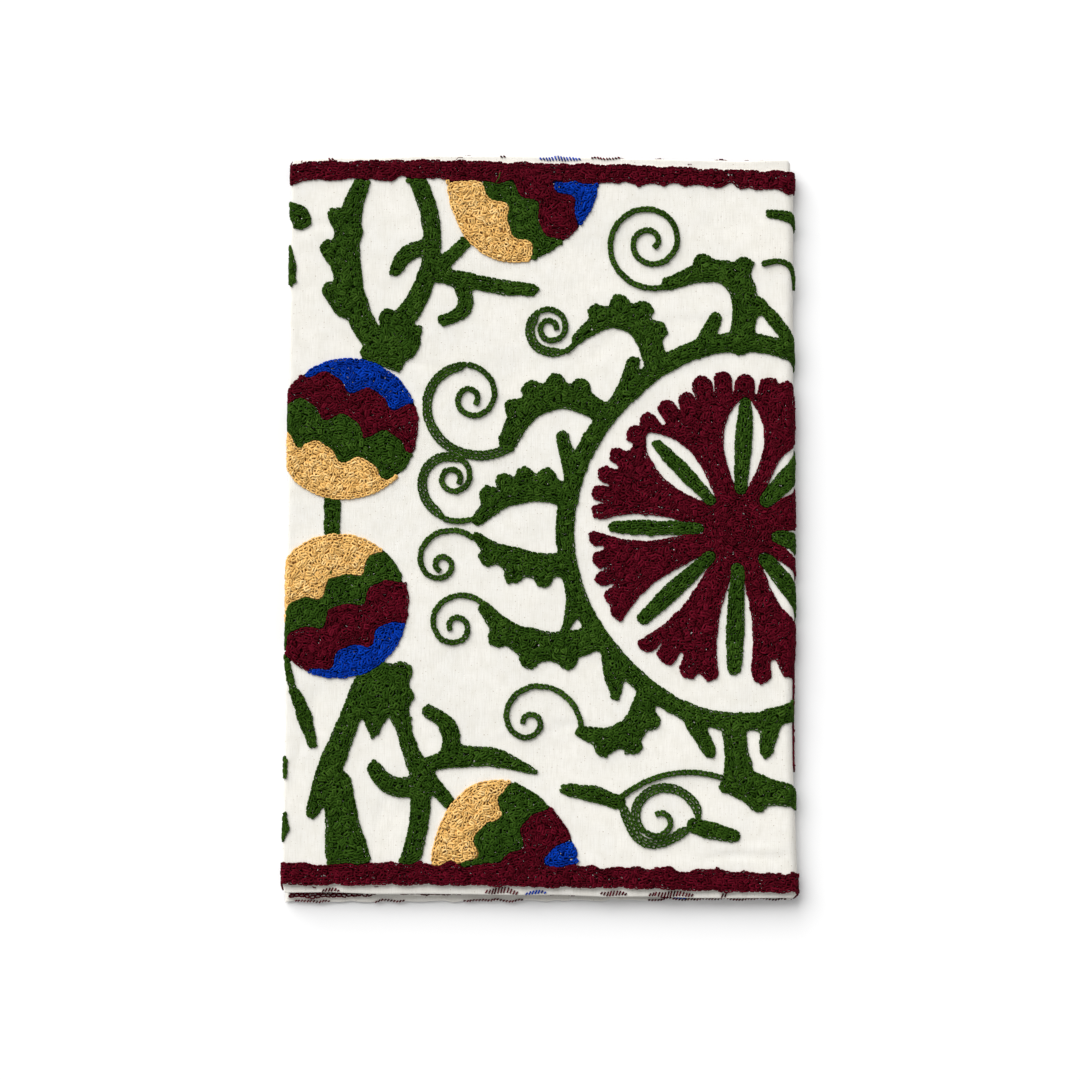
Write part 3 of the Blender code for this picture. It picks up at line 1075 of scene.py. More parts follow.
# How many single strands cross over each square millimetre of links, by colour
STRANDS = {GREEN: 0.04, MAROON: 0.04, TAN: 0.10, BLUE: 0.04}
STRAND_RADIUS = 0.55
STRAND_VARY = (0.85, 1.15)
STRAND_LENGTHS = (2.4, 6.4)
STRAND_LIFTS = (0.25, 0.65)
STRAND_BEND = 0.26
STRAND_SLANT = 1.1
# Strands lie at least this far inside an area, and are at most this many times as long as that depth
STRAND_FROM = 1.2
STRAND_REACH = 1.9
# The share of the strands over tan that are green
STRAY_GREEN = 0.015
# The path of a strand, by its share of the strand's length, of its bend, and of its lift
STRAND_PATH = np.array([(0, 0, 0.1), (0.24, 0.7, 0.8), (0.5, 1, 1), (0.76, 0.7, 0.8), (1, 0, 0.1)])
# How many places are tried for each strand; those that close the fewest holes are taken
TRIES = 14


def lay_strands(depth, colour, swirl):
    """Longer single strands that cross over the links, but leave their holes open."""
    rows, columns = np.nonzero(depth > STRAND_FROM)
    count = int(len(rows) * CELL * CELL * STRANDS[colour])
    tried = random.choice(len(rows), min(len(rows), TRIES * count), replace=False)
    rows, columns = rows[tried], columns[tried]
    size = len(tried)
    turn = swirl[rows, columns] + random.normal(0, STRAND_SLANT, size)
    length = np.minimum(random.uniform(*STRAND_LENGTHS, size), STRAND_REACH * depth[rows, columns])
    bend = random.uniform(-STRAND_BEND, STRAND_BEND, size) * length
    run = (STRAND_PATH[:, 0] - 0.5) * length[:, None]
    off = STRAND_PATH[:, 1] * bend[:, None]
    cos, sin = np.cos(turn)[:, None], np.sin(turn)[:, None]
    along = GRID_ALONG[columns][:, None] + run * cos - off * sin
    over = GRID_OVER[rows][:, None] + run * sin + off * cos
    between_along = 0.5 * (along[:, 1:] + along[:, :-1])
    between_over = 0.5 * (over[:, 1:] + over[:, :-1])
    passed = np.hstack([along, between_along]), np.hstack([over, between_over])
    closes = holes[cells_at(*passed)].sum(1)
    best = np.argsort(closes, kind="stable")[:count]
    for i in best:
        radius = STRAND_RADIUS * random.uniform(*STRAND_VARY)
        lift = random.uniform(*STRAND_LIFTS)
        shade = random.uniform(0, 1)
        place = (along[i, 0], over[i, 0], turn[i], length[i], bend[i])
        stray = colour == TAN and random.uniform() < STRAY_GREEN
        LINKS.append((*place, radius, lift, GREEN if stray else colour, shade, 1))


def fold_starts(over):
    """Where each stretch starts along the panel at one place over it."""
    return stretch_starts(np.array([over / PANEL_WIDTH]))[:, 0]


# The border rows between the layers: their distances from the edge, how far the outer ones run along
# the long edges from the panel's end, and how far those along that end stay away from both corners
RIM_ROWS = (1.05, 3.15, 5.25)
SEEN_RIM = 100.0
RIM_CORNER = 8.0


def rim_row(along, over):
    """A row of maroon links through places of which one may be a single number."""
    points = np.stack(np.broadcast_arrays(along, over), axis=1)
    sew_row(points, MAROON, OUTLINE)


def sew_rims():
    """Border rows between the layers: one along each long edge, more where the third layer shows."""
    for over in (RIM_ROWS[0], PANEL_WIDTH - RIM_ROWS[0]):
        rim_row(np.arange(fold_starts(over)[0] + 1, LOW_ALONG - 1, LINK_PITCH), over)
    for inset in RIM_ROWS[1:]:
        rim_row(fold_starts(inset)[0] + np.arange(1, SEEN_RIM, LINK_PITCH), inset)
    for inset in RIM_ROWS[:2]:
        over = np.arange(RIM_CORNER, PANEL_WIDTH - RIM_CORNER, LINK_PITCH)
        rim_row(stretch_starts(over / PANEL_WIDTH)[0] + inset, over)


sew_tendrils()
sew_areas()
sew_rims()
links = {name: np.array([link[i] for link in LINKS]) for i, name in enumerate(FIELDS)}

# ---------------------------------------------------------------- yarn and cotton as geometry

# The links between these places along the panel are the top layer's. The underside's embroidery is the
# same, mirrored about half of the third number.
TOP_FROM, TOP_TO = -131.5, 139.2
UNDERSIDE_MIRROR = 201.0

# The path of one link, by its share of the link's length, of its half width, and of its lift: it
# starts low inside the loop before, opens into two legs and closes round its head.
LINK_PATH = np.array(
    [(0.00, -0.16, 0.25), (0.36, -0.82, 0.90), (0.93, -0.80, 1.00), (0.93, 0.80, 1.00),
     (0.36, 0.82, 0.90), (0.00, 0.16, 0.25)]
)
PLAIN_LINK_PATH = np.array([(0.05, -0.7, 0.4), (1.05, 0, 1.0), (0.05, 0.7, 0.4)])
LINK_SINK = 0.45
LINK_LIFT = 0.14
# How much flatter and thinner the underside's links are, and how thin a link is at its ends
UNDERSIDE_SHARE = 0.6
END_SHARE = 0.72
# No link comes closer to the panel's edge than this
EDGE_INSET = 0.1
# A link's shade: its least value, what its own tone adds, the painted light that its lift adds, and the
# painted shade that its low parts take away
SHADE_BASE = 0.26
SHADE_TONE = 0.34
LIFT_PAINTED_LIGHT = 0.4
LOW_PAINTED_SHADE = 0.35


def make_object(name, points, faces):
    """An object from points in mm and faces by their corners, in as many groups as they have sizes."""
    points[:, 2] = np.maximum(points[:, 2], 0.0)
    mesh = bpy.data.meshes.new(name)
    corners = np.concatenate([group.ravel() for group in faces]).astype(np.int32)
    sizes = np.concatenate([np.full(len(group), group.shape[1]) for group in faces])
    starts = np.concatenate([[0], np.cumsum(sizes)[:-1]]).astype(np.int32)
    mesh.vertices.add(len(points))
    mesh.vertices.foreach_set("co", (points * MM).astype(np.float32).ravel())
    mesh.loops.add(len(corners))
    mesh.loops.foreach_set("vertex_index", corners)
    mesh.polygons.add(len(sizes))
    mesh.polygons.foreach_set("loop_start", starts)
    mesh.update(calc_edges=True)
    mesh.shade_smooth()
    thing = bpy.data.objects.new(name, mesh)
    bpy.context.scene.collection.objects.link(thing)
    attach(thing, "root")
    return thing


def point_values(thing, name, values):
    """Keeps a number for each point of an object's mesh."""
    attribute = thing.data.attributes.new(name, "FLOAT", "POINT")
    attribute.data.foreach_set("value", values.astype(np.float32).ravel())


def corner_places(thing, name, places):
    """Keeps a flat place, from 0 to 1 both ways, for each face corner of an object's mesh."""
    layer = thing.data.uv_layers.new(name=name)
    layer.data.foreach_set("uv", places.astype(np.float32).ravel())


def tubes(paths, normals, radii, sides):
    """Closed tubes of yarn round many paths of the same count of points, as points and faces."""
    count, length = paths.shape[:2]
    ahead = np.gradient(paths, axis=1)
    ahead /= np.linalg.norm(ahead, axis=2, keepdims=True) + 1e-9
    side = np.cross(ahead, normals)
    side /= np.linalg.norm(side, axis=2, keepdims=True) + 1e-9
    up = np.cross(side, ahead)
    turn = (np.arange(sides) + 0.5) * math.tau / sides
    ring = side[:, :, None] * np.cos(turn)[:, None] + up[:, :, None] * np.sin(turn)[:, None]
    points = paths[:, :, None] + ring * radii[:, :, None, None]
    index = np.arange(count * length * sides).reshape(count, length, sides)
    following = np.roll(index, -1, axis=2)
    walls = np.stack([index[:, :-1], index[:, 1:], following[:, 1:], following[:, :-1]], axis=-1)
    caps = np.concatenate([index[:, 0], index[:, -1, ::-1]])
    return points.reshape(-1, 3), walls.reshape(-1, 4), caps


# How much of its cell's side a tube's bake map leaves free at each end
CELL_MARGIN = 0.08


def link_places(first, cells, count, length, sides):
    """Flat places for the corners of tubes: each tube has its own cell of the whole square."""
    number = first + np.arange(count)
    corner = np.stack([number % cells, number // cells], axis=1)[:, None, None, None, :]
    step, side = np.meshgrid(np.arange(length - 1), np.arange(sides), indexing="ij")
    run = np.stack([step, step + 1, step + 1, step], axis=-1) / (length - 1)
    off = np.stack([side, side, side + 1, side + 1], axis=-1) / sides
    inner = CELL_MARGIN + (1 - 2 * CELL_MARGIN) * np.stack([run, off], axis=-1)[None]
    walls = ((corner + inner) / cells).reshape(-1, 2)
    caps = np.repeat((corner[:, 0, 0, 0] + 0.5) / cells, sides, axis=0)
    return np.concatenate([walls, caps, caps])


Bunch = namedtuple("Bunch", "paths normals radii shades sides")


def yarn_piece(name, slot, bunches):
    """One object of closed yarn tubes in bunches, each tube with its own shade from 0 to 1."""
    bunches = [bunch for bunch in bunches if len(bunch.paths)]
    cells = int(math.ceil(math.sqrt(sum(len(bunch.paths) for bunch in bunches))))
    points, faces, shades, places = [], [], [], []
    tube_count = point_count = 0
    for bunch in bunches:
        made, walls, caps = tubes(bunch.paths, bunch.normals, bunch.radii, bunch.sides)
        points.append(made)
        faces += [walls + point_count, caps + point_count]
        shades.append(np.repeat(bunch.shades.ravel(), bunch.sides))
        count, length = bunch.paths.shape[:2]
        places.append(link_places(tube_count, cells, count, length, bunch.sides))
        tube_count += count
        point_count += len(made)
    thing = make_object(name, np.concatenate(points), faces)
    point_values(thing, "shade", np.concatenate(shades))
    corner_places(thing, "OFBake", np.concatenate(places))
    thing.data.materials.append(MATERIALS[slot])
    return thing


def link_paths(chosen, path, sides, mirrored=False):
    """The paths of the chosen links on the folded panel, with normals, radii and shades."""
    one = {name: values[chosen][:, None] for name, values in links.items()}
    run = path[:, 0] * one["length"]
    off = path[:, 1] * one["half"]
    along = one["along"] + run * np.cos(one["turn"]) - off * np.sin(one["turn"])
    over = one["over"] + run * np.sin(one["turn"]) + off * np.cos(one["turn"])
    over = np.clip(over, EDGE_INSET, PANEL_WIDTH - EDGE_INSET)
    height = one["radius"] * LINK_SINK + (LINK_LIFT + one["lift"]) * path[:, 2]
    radii = np.broadcast_to(one["radius"], along.shape)
    if mirrored:
        along = UNDERSIDE_MIRROR - along
        height = UNDERSIDE_SHARE * height
        radii = UNDERSIDE_SHARE * radii
    points, normals = on_panel(along, over, height)
    ends = np.ones(len(path))
    ends[[0, -1]] = END_SHARE
    # Painted shade: each link is darker towards its low ends. Painted light: lifted links are lighter.
    low = LOW_PAINTED_SHADE * (1 - path[:, 2])
    shades = SHADE_BASE + SHADE_TONE * one["shade"] + LIFT_PAINTED_LIGHT * one["lift"] - low
    return Bunch(points, normals, radii * ends, shades, sides)


SLOTS = {GREEN: "green_yarn", MAROON: "maroon_yarn", BLUE: "blue_yarn", TAN: "tan_yarn"}
# Maroon links closer to the long edges than this are the border's, and green ones split at this place
BORDER_REACH = 13.0
GREEN_SPLIT = -10.0


def sew_links():
    """All links as objects, split by colour and place."""
    middle = links["along"] + 0.5 * links["length"] * np.cos(links["turn"])
    on_top = (middle > TOP_FROM) & (middle < TOP_TO)
    border = np.minimum(links["over"], PANEL_WIDTH - links["over"]) < BORDER_REACH
    groups = {
        "green_yarn_left": (links["colour"] == GREEN) & (middle < GREEN_SPLIT),
        "green_yarn_right": (links["colour"] == GREEN) & (middle >= GREEN_SPLIT),
        "maroon_yarn_border": (links["colour"] == MAROON) & border,
        "maroon_yarn_rosette": (links["colour"] == MAROON) & ~border,
        "blue_yarn_fruit": links["colour"] == BLUE,
        "tan_yarn_fruit": links["colour"] == TAN,
    }
    strand = links["strand"] == 1
    for name, own in groups.items():
        slot = "_".join(name.split("_")[:2])
        seen = own & on_top
        whole = link_paths(seen & ~strand, LINK_PATH, 4)
        yarn_piece(name, slot, [whole, link_paths(seen & strand, STRAND_PATH, 3)])
    for colour, slot in SLOTS.items():
        under = (links["colour"] == colour) & (middle > LOW_ALONG) & ~strand
        under &= middle < UNDERSIDE_MIRROR - TOP_TO
        yarn_piece(slot + "_under", slot, [link_paths(under, PLAIN_LINK_PATH, 3, True)])
    within = middle < LOW_ALONG
    yarn_piece("maroon_yarn_rims", "maroon_yarn", [link_paths(within, LINK_PATH, 4)])


# Straight stitches that show on the panel's back at its rims: the stretch, from and to along x, whether
# they lie along the upper edge, how near to it and how far from it they reach, and the yarn
Back = namedtuple("Back", "stretch start end upper near far slot", defaults=("maroon_yarn",))
BACKS = (
    Back(2, -108, -100, False, 0.4, 2.2),
    Back(2, -27, -11, False, 0.2, 3.4),
    Back(2, -7, 3, False, 0.2, 2.0, "blue_yarn"),
    Back(2, 30, 43, False, 0.4, 2.8),
    Back(2, 54, 76, False, 0.2, 3.0),
    Back(2, 90, 93, False, 0.5, 2.6),
    Back(2, 0, 20, True, 0.2, 2.4, "blue_yarn"),
    Back(2, 26, 41, True, 0.1, 0.9),
    Back(2, -107, -105, True, 0.1, 0.9),
    Back(2, -20, -17, True, 0.1, 0.9),
    Back(6, -122, -104, False, 0.0, 1.0),
    Back(6, -82, -68, False, 0.0, 0.9),
    Back(6, -38, -8, False, 0.0, 0.9),
    Back(6, 54, 122, False, 0.0, 0.9),
    Back(6, 67, 72, False, 0.8, 2.0, "blue_yarn"),
)
BACK_PITCH = 1.5
BACK_STRAY = 0.05
BACK_RADIUS = 0.5
BACK_LEAN = -0.9
# How short the stitches are at the ends of a row, as a share
BACK_SHORTEST = 0.35
# How far they lie under the doubled cotton, and how much further their middles do
BACK_CLEARANCE = 0.12
BACK_SAG = 0.14
BACK_SHADES = (0.1, 0.9)


def sew_backs():
    """Short slanting stitches on the panel's back, seen along its rims."""
    ends = {"maroon_yarn": [], "blue_yarn": []}
    for back in BACKS:
        share = 1.0 if back.upper else 0.0
        _, right = fold_axes(share)
        start = fold_starts(share * PANEL_WIDTH)[back.stretch]
        length = back.end - back.start + BACK_PITCH
        for x in np.arange(back.start, back.end, BACK_PITCH):
            along = start + right - x + random.normal(0, BACK_STRAY)
            swell = math.sin(math.pi * (x - back.start + BACK_PITCH) / length)
            reach = BACK_SHORTEST + (1 - BACK_SHORTEST) * swell
            far = back.near + reach * (back.far - back.near)
            over = np.array([back.near, 0.5 * (back.near + far), far])
            over = PANEL_WIDTH - over if back.upper else over
            ends[back.slot].append([along + np.array([0, 0.5, 1]) * BACK_LEAN, over])
    for slot, rows in ends.items():
        along, over = np.array(rows).transpose(1, 0, 2)
        depth = -2 * COTTON_THICKNESS - BACK_CLEARANCE - np.array([0.0, BACK_SAG, 0.0])
        points, normals = on_panel(along, over, np.broadcast_to(depth, along.shape))
        radii = np.full(along.shape, BACK_RADIUS)
        shades = np.broadcast_to(random.uniform(*BACK_SHADES, (len(along), 1)), along.shape)
        yarn_piece(slot + "_back", slot, [Bunch(points, -normals, radii, shades, 4)])


# Loose ends of yarn: three seen places with their heights, the yarn's radius and its kind
Thread = namedtuple("Thread", "places radius slot", defaults=("maroon_yarn",))
THREADS = (
    Thread(((-20, 178.6, 1.4), (-20.4, 176, 2.2), (-22, 173.4, 1.8)), 0.26, "green_yarn"),
    Thread(((-9, 180.6, 1.6), (-8.4, 178, 2.2), (-9.8, 174, 1.6)), 0.22),
    Thread(((-113.6, -178.2, 1.0), (-113, -180.6, 0.4), (-112.4, -182.6, -0.6)), 0.3),
    Thread(((-119.4, 183.4, 0.8), (-119, 185.6, 0.2), (-119.6, 187, -0.4)), 0.2),
    Thread(((76, 183.6, 0.8), (74.6, 185.2, 0.2), (74, 186.6, -0.4)), 0.2),
    Thread(((-42, 185, 0.6), (-41, 186.4, 0.2), (-38.6, 186.8, 0.2)), 0.18),
    Thread(((-83, -183, 0.0), (-82.4, -184.4, -0.4), (-81, -185, -0.6)), 0.2),
)
THREAD_STEPS = np.linspace(0, 2, 7)
THREAD_SHADE = 0.6
# How far past the panel's edge a loose end may hang
THREAD_HANG = 1.2


def loose_threads():
    """Short loose ends of yarn that lie over the borders."""
    for slot in ("green_yarn", "maroon_yarn"):
        points, normals, radii = [], [], []
        for thread in THREADS:
            if thread.slot != slot:
                continue
            x, y, height = (np.interp(THREAD_STEPS, range(3), values) for values in zip(*thread.places))
            along, over = on_cloth(x, y)
            over = np.clip(over, -THREAD_HANG, PANEL_WIDTH + THREAD_HANG)
            place, normal = on_panel(along, over, height)
            points.append(place)
            normals.append(normal)
            radii.append(np.full(len(place), thread.radius))
        radii = np.array(radii)
        shades = np.full(radii.shape, THREAD_SHADE)
        made = Bunch(np.array(points), np.array(normals), radii, shades, 5)
        yarn_piece(slot + "_threads", slot, [made])


# ---------------------------------------------------------------- the cotton panel

# The cotton grid's spacing on the top layer, the bottom layer and those between, and its steps round
# the folds
TOP_SPACING = 1.9
UNDER_SPACING = 4.6
FAR_SPACING = 22.0
LAYER_LENGTH = 250.0
FOLD_STEPS = 7
WRAP_STEPS = 10
END_COLUMNS = np.array([0.0, 0.004, 0.04])
HEM_ROWS = np.array([0, 0.12, 0.35, 0.8, 1.6, 3.2, 5.0, 6.8, 8.6, 10.0, 10.9])
HEM_INNER = 12.0
RIM_ROUND = 0.8
PUCKER = 0.05
PUCKER_LENGTH = 2.4
# How wide the border's bed is where the pattern grid doesn't reach
HIDDEN_BORDER = 5.5
# The bake map has the cotton's face on its left half and the back on its right half
MAP_SIZE = (0.49, 0.98)
MAP_CORNERS = ((0.005, 0.01), (0.505, 0.01))


def panel_columns():
    """The places along the panel of the cotton grid's columns, from 0 to the count of stretches."""
    last = len(MIDDLE)
    spacings = {TOP_PLACE: TOP_SPACING, BOTTOM_PLACE: UNDER_SPACING}
    places = [END_COLUMNS, last - END_COLUMNS]
    for stretch in range(last):
        if IS_FOLD[stretch]:
            steps = WRAP_STEPS if stretch == WRAP_PLACE else FOLD_STEPS
        else:
            steps = int(LAYER_LENGTH / spacings.get(stretch, FAR_SPACING))
        places.append(stretch + np.arange(steps) / steps)
    return np.unique(np.round(np.concatenate(places), 5))


def cotton_grid():
    """How far along the panel and over it the points of the cotton's grid lie."""
    places = panel_columns()
    inner = np.arange(HEM_INNER, PANEL_WIDTH - HEM_INNER + 0.1, TOP_SPACING)
    overs = np.concatenate([HEM_ROWS, inner, PANEL_WIDTH - HEM_ROWS[::-1]])
    starts = stretch_starts(overs / PANEL_WIDTH)
    along = np.stack([np.interp(places, np.arange(len(starts)), row) for row in starts.T])
    return along, np.repeat(overs[:, None], len(places), axis=1)


def cotton_points(along, over, edge):
    """The points of the cotton's face, then of its back: doubled in the hems and round at its rims."""
    end = np.minimum(along - along[:, :1], along[:, -1:] - along)
    from_rim = np.minimum(edge, end)
    waves = PUCKER * round_noise(PUCKER_LENGTH, 77)[cells_at(along, over)]
    doubled = np.clip((HEM_WIDTH + HEM_STEP - from_rim) / HEM_STEP, 0, 1)
    rounded = np.sqrt(np.clip(1 - (1 - np.clip(from_rim / RIM_ROUND, 0, 1)) ** 2, 0.02, 1))
    thickness = COTTON_THICKNESS * (1 + doubled)
    middle = -0.5 * thickness + waves
    face, _ = on_panel(along, over, middle + 0.5 * thickness * rounded)
    back, _ = on_panel(along, over, middle - 0.5 * thickness * rounded)
    return np.concatenate([face.reshape(-1, 3), back.reshape(-1, 3)])


def closed_sheet(rows, columns):
    """The faces of a grid of points, of as many more under it, and of the rim between the two."""
    grid = np.arange(rows * columns).reshape(rows, columns)
    under = grid + rows * columns
    top_faces = np.stack([grid[:-1, :-1], grid[:-1, 1:], grid[1:, 1:], grid[1:, :-1]], -1)
    back_faces = np.stack([under[:-1, :-1], under[1:, :-1], under[1:, 1:], under[:-1, 1:]], -1)
    around = np.concatenate([grid[0, :-1], grid[:-1, -1], grid[-1, :0:-1], grid[:0:-1, 0]])
    ahead = np.roll(around, -1)
    rim = np.stack([around, around + rows * columns, ahead + rows * columns, ahead], -1)
    return np.concatenate([top_faces.reshape(-1, 4), back_faces.reshape(-1, 4), rim])


def mark_cotton(cloth, along, over, edge):
    """Keeps what the cotton's material reads: each point's place, and its depth in each colour."""
    for name, values in (("along", along), ("over", over)):
        point_values(cloth, name, np.stack([values, values]))
    seen = np.where(along > TOP_TO, UNDERSIDE_MIRROR - along, along)
    cells = cells_at(seen, over)
    hidden = seen < LOW_ALONG
    covered = (depth_inside(pattern > 0) - depth_inside(pattern == 0))[cells]
    covered[hidden] = np.clip(edge - HIDDEN_BORDER, -1, 1)[hidden]
    point_values(cloth, "bed", np.stack([covered, np.full_like(covered, -1.0)]))
    for colour, slot in SLOTS.items():
        own = pattern == colour
        depth = (depth_inside(own) - depth_inside(~own))[cells]
        depth[hidden] = 1.0 if colour == MAROON else -1.0
        point_values(cloth, "bed_" + slot, np.stack([depth, depth]))


def cotton_piece():
    """The whole panel as one thin sheet with doubled hems, closed all round."""
    along, over = cotton_grid()
    edge = np.minimum(over, PANEL_WIDTH - over)
    faces = closed_sheet(*along.shape)
    cloth = make_object("suzani_cotton", cotton_points(along, over, edge), [faces])
    flat_along = (along - along.min()) / (along.max() - along.min())
    flat = np.stack([flat_along, over / PANEL_WIDTH], -1).reshape(-1, 2)
    flat = np.concatenate([flat * MAP_SIZE + corner for corner in MAP_CORNERS])
    corner_places(cloth, "OFBake", flat[faces.ravel()])
    mark_cotton(cloth, along, over, edge)
    cloth.data.materials.append(MATERIALS["cotton_ground"])
    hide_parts("suzani_cloth")
    return cloth


# ---------------------------------------------------------------- materials

# How a surface is bumped and shines
Surface = namedtuple("Surface", "bump depth roughness specular")
YARN_SURFACE = Surface(0.5, 0.0002, 0.75, 0.04)
COTTON_SURFACE = Surface(0.35, 0.00012, 0.9, 0.03)
FLOOR_SURFACE = Surface(0.1, 0.0001, 0.85, 0.1)

# Each yarn's dark, middle and light tone. A point's shade picks among them, and that shade holds
# painted light and shade as well as its own tone.
YARN_COLOURS = {
    "green_yarn": ((0.008, 0.026, 0.0012), (0.022, 0.058, 0.0040), (0.056, 0.118, 0.014)),
    "maroon_yarn": ((0.024, 0.0004, 0.0022), (0.071, 0.0013, 0.0066), (0.145, 0.004, 0.017)),
    "blue_yarn": ((0.0002, 0.009, 0.105), (0.0004, 0.028, 0.290), (0.001, 0.060, 0.500)),
    "tan_yarn": ((0.46, 0.24, 0.056), (0.77, 0.46, 0.145), (0.90, 0.67, 0.32)),
}
# The yarn bed on the cotton between the loops: each yarn's colour, painted darker as the shade in the
# pits
PAINTED_SHADE_BED_COLOURS = {
    "green_yarn": (0.005, 0.012, 0.001),
    "maroon_yarn": (0.020, 0.0005, 0.002),
    "blue_yarn": (0.0003, 0.006, 0.060),
    "tan_yarn": (0.36, 0.18, 0.050),
}
# How much the tone of a yarn varies in patches and from fibre to fibre, and the scale of each noise
YARN_NOISES = ((0.4, 130.0, 2.0), (0.3, 1700.0, 1.0))
SHEEN_WEIGHT = 0.3
SHEEN_ROUGHNESS = 0.45

# The cotton's tones, each laid over the last: noise that is pressed along and over the panel, is spread
# between low and high, and mixes in its colour
Tone = namedtuple("Tone", "along over scale detail low high strength colour")
COTTON_COLOUR = (0.835, 0.81, 0.75)
COTTON_TONES = {
    "mottle": Tone(1.0, 1.0, 0.035, 3.0, 0.35, 0.68, 1.0, (0.79, 0.775, 0.73)),
    "blotch": Tone(1.0, 1.0, 0.16, 2.0, 0.40, 0.75, 0.5, (0.72, 0.695, 0.62)),
    "warp": Tone(2.0, 0.11, 1.0, 2.0, 0.45, 0.75, 0.72, (0.70, 0.675, 0.61)),
    "weft": Tone(0.16, 2.0, 1.0, 2.0, 0.5, 0.8, 0.42, (0.70, 0.68, 0.62)),
    "slubs": Tone(1.6, 0.16, 1.0, 3.0, 0.66, 0.78, 0.4, (0.62, 0.57, 0.48)),
    "specks": Tone(1.0, 1.0, 1.1, 0.0, 0.775, 0.80, 0.6, (0.40, 0.33, 0.25)),
}
# White specks between the stitches of the top layer: their noise's scale, and above what value they lie
BARE_SCALE = 0.75
BARE_ABOVE = 0.66
# The bed of the stitches starts this far inside an area, and further in where its noise is high
BED_EDGE = (0.50, 0.70)
GAP_SCALE = 0.06
GAP_RANGE = (0.47, 0.56)
GAP_DEPTH = 0.6
WEAVE_PITCH = 0.55
SLUB_BUMP = 3.0
WARP_BUMP = 2.0
FLOOR_TONES = ((0.89, 0.89, 0.89), (0.90, 0.90, 0.90))
FLOOR_SCALES = (3.0, 900.0)
MATERIALS = {}


def new_material(name):
    """A node material, its tree and its shader."""
    material = bpy.data.materials.new(name)
    material.use_nodes = True
    tree = material.node_tree
    return material, tree, tree.nodes["Principled BSDF"]


def add_node(tree, kind, settings=None, **inputs):
    """A node with its settings and inputs: an input is a number, a tuple, or another node's output."""
    made = tree.nodes.new(kind)
    for key, value in (settings or {}).items():
        setattr(made, key, value)
    for key, value in inputs.items():
        socket = made.inputs[int(key[1:])] if key[0] == "_" else made.inputs[key]
        if isinstance(value, bpy.types.NodeSocket):
            tree.links.new(value, socket)
        else:
            socket.default_value = value
    return made


def math_node(tree, operation, *values):
    """The output of a sum on numbers or other nodes' outputs."""
    settings = {"operation": operation}
    inputs = {f"_{i}": value for i, value in enumerate(values)}
    return add_node(tree, "ShaderNodeMath", settings, **inputs).outputs[0]


def mix_colours(tree, share, first, second):
    """A mix of two colours: each is a tuple or another node's output."""
    made = add_node(tree, "ShaderNodeMix", {"data_type": "RGBA"}, _0=share)
    for number, value in ((6, first), (7, second)):
        if isinstance(value, bpy.types.NodeSocket):
            tree.links.new(value, made.inputs[number])
        else:
            made.inputs[number].default_value = (*value, 1.0)
    return made.outputs[2]


def noise_node(tree, place, scale, detail=2.0, pressed=None):
    """Noise at a place, which may be pressed by three factors first."""
    if pressed:
        settings = {"operation": "MULTIPLY"}
        place = add_node(tree, "ShaderNodeVectorMath", settings, _0=place, _1=pressed).outputs["Vector"]
    made = add_node(tree, "ShaderNodeTexNoise", Vector=place, Scale=scale, Detail=detail)
    return made.outputs["Fac"]


def graded(tree, value, low, high):
    """A value spread so that low becomes 0 and high becomes 1."""
    inputs = {"Value": value, "From Min": low, "From Max": high}
    return add_node(tree, "ShaderNodeMapRange", None, **inputs).outputs["Result"]


def attribute_node(tree, name):
    """The numbers that were kept for the points under a name."""
    return add_node(tree, "ShaderNodeAttribute", {"attribute_name": name}).outputs["Fac"]


def set_surface(tree, shader, colour, height, surface):
    """Gives a shader its colour and bump, and sets how it shines."""
    tree.links.new(colour, shader.inputs["Base Color"])
    settings = {"Strength": surface.bump, "Distance": surface.depth, "Height": height}
    bump = add_node(tree, "ShaderNodeBump", None, **settings)
    tree.links.new(bump.outputs["Normal"], shader.inputs["Normal"])
    shader.inputs["Roughness"].default_value = surface.roughness
    shader.inputs["Specular IOR Level"].default_value = surface.specular


def yarn_material(slot):
    """Thick, slightly hairy twisted yarn, with painted shade low down between the loops and painted
    light on lifted links.
    """
    dark, middle, light = YARN_COLOURS[slot]
    material, tree, shader = new_material(slot)
    place = tree.nodes.new("ShaderNodeTexCoord").outputs["Object"]
    tone = attribute_node(tree, "shade")
    for size, scale, detail in YARN_NOISES:
        noise = noise_node(tree, place, scale, detail)
        tone = math_node(tree, "MULTIPLY_ADD", noise, size, math_node(tree, "SUBTRACT", tone, size / 2))
    colour = mix_colours(tree, graded(tree, tone, 0.0, 0.5), dark, middle)
    colour = mix_colours(tree, graded(tree, tone, 0.5, 1.0), colour, light)
    set_surface(tree, shader, colour, noise, YARN_SURFACE)
    shader.inputs["Sheen Weight"].default_value = SHEEN_WEIGHT
    shader.inputs["Sheen Roughness"].default_value = SHEEN_ROUGHNESS
    shader.inputs["Sheen Tint"].default_value = (*light, 1.0)
    return material


def stitch_bed_and_shade(tree, flat, along):
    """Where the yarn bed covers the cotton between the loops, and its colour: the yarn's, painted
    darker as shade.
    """
    bare = math_node(tree, "MULTIPLY", noise_node(tree, flat, BARE_SCALE, 1.0),
                     math_node(tree, "LESS_THAN", along, TOP_TO))
    covered = math_node(tree, "LESS_THAN", bare, BARE_ABOVE)
    bed = PAINTED_SHADE_BED_COLOURS["green_yarn"]
    for slot in SLOTS.values():
        own = math_node(tree, "GREATER_THAN", attribute_node(tree, "bed_" + slot), 0.0)
        bed = mix_colours(tree, own, bed, PAINTED_SHADE_BED_COLOURS[slot])
    gappy = graded(tree, noise_node(tree, flat, GAP_SCALE, 1.0), *GAP_RANGE)
    inside = math_node(tree, "MULTIPLY_ADD", gappy, -GAP_DEPTH, attribute_node(tree, "bed"))
    return math_node(tree, "MULTIPLY", graded(tree, inside, *BED_EDGE), covered), bed


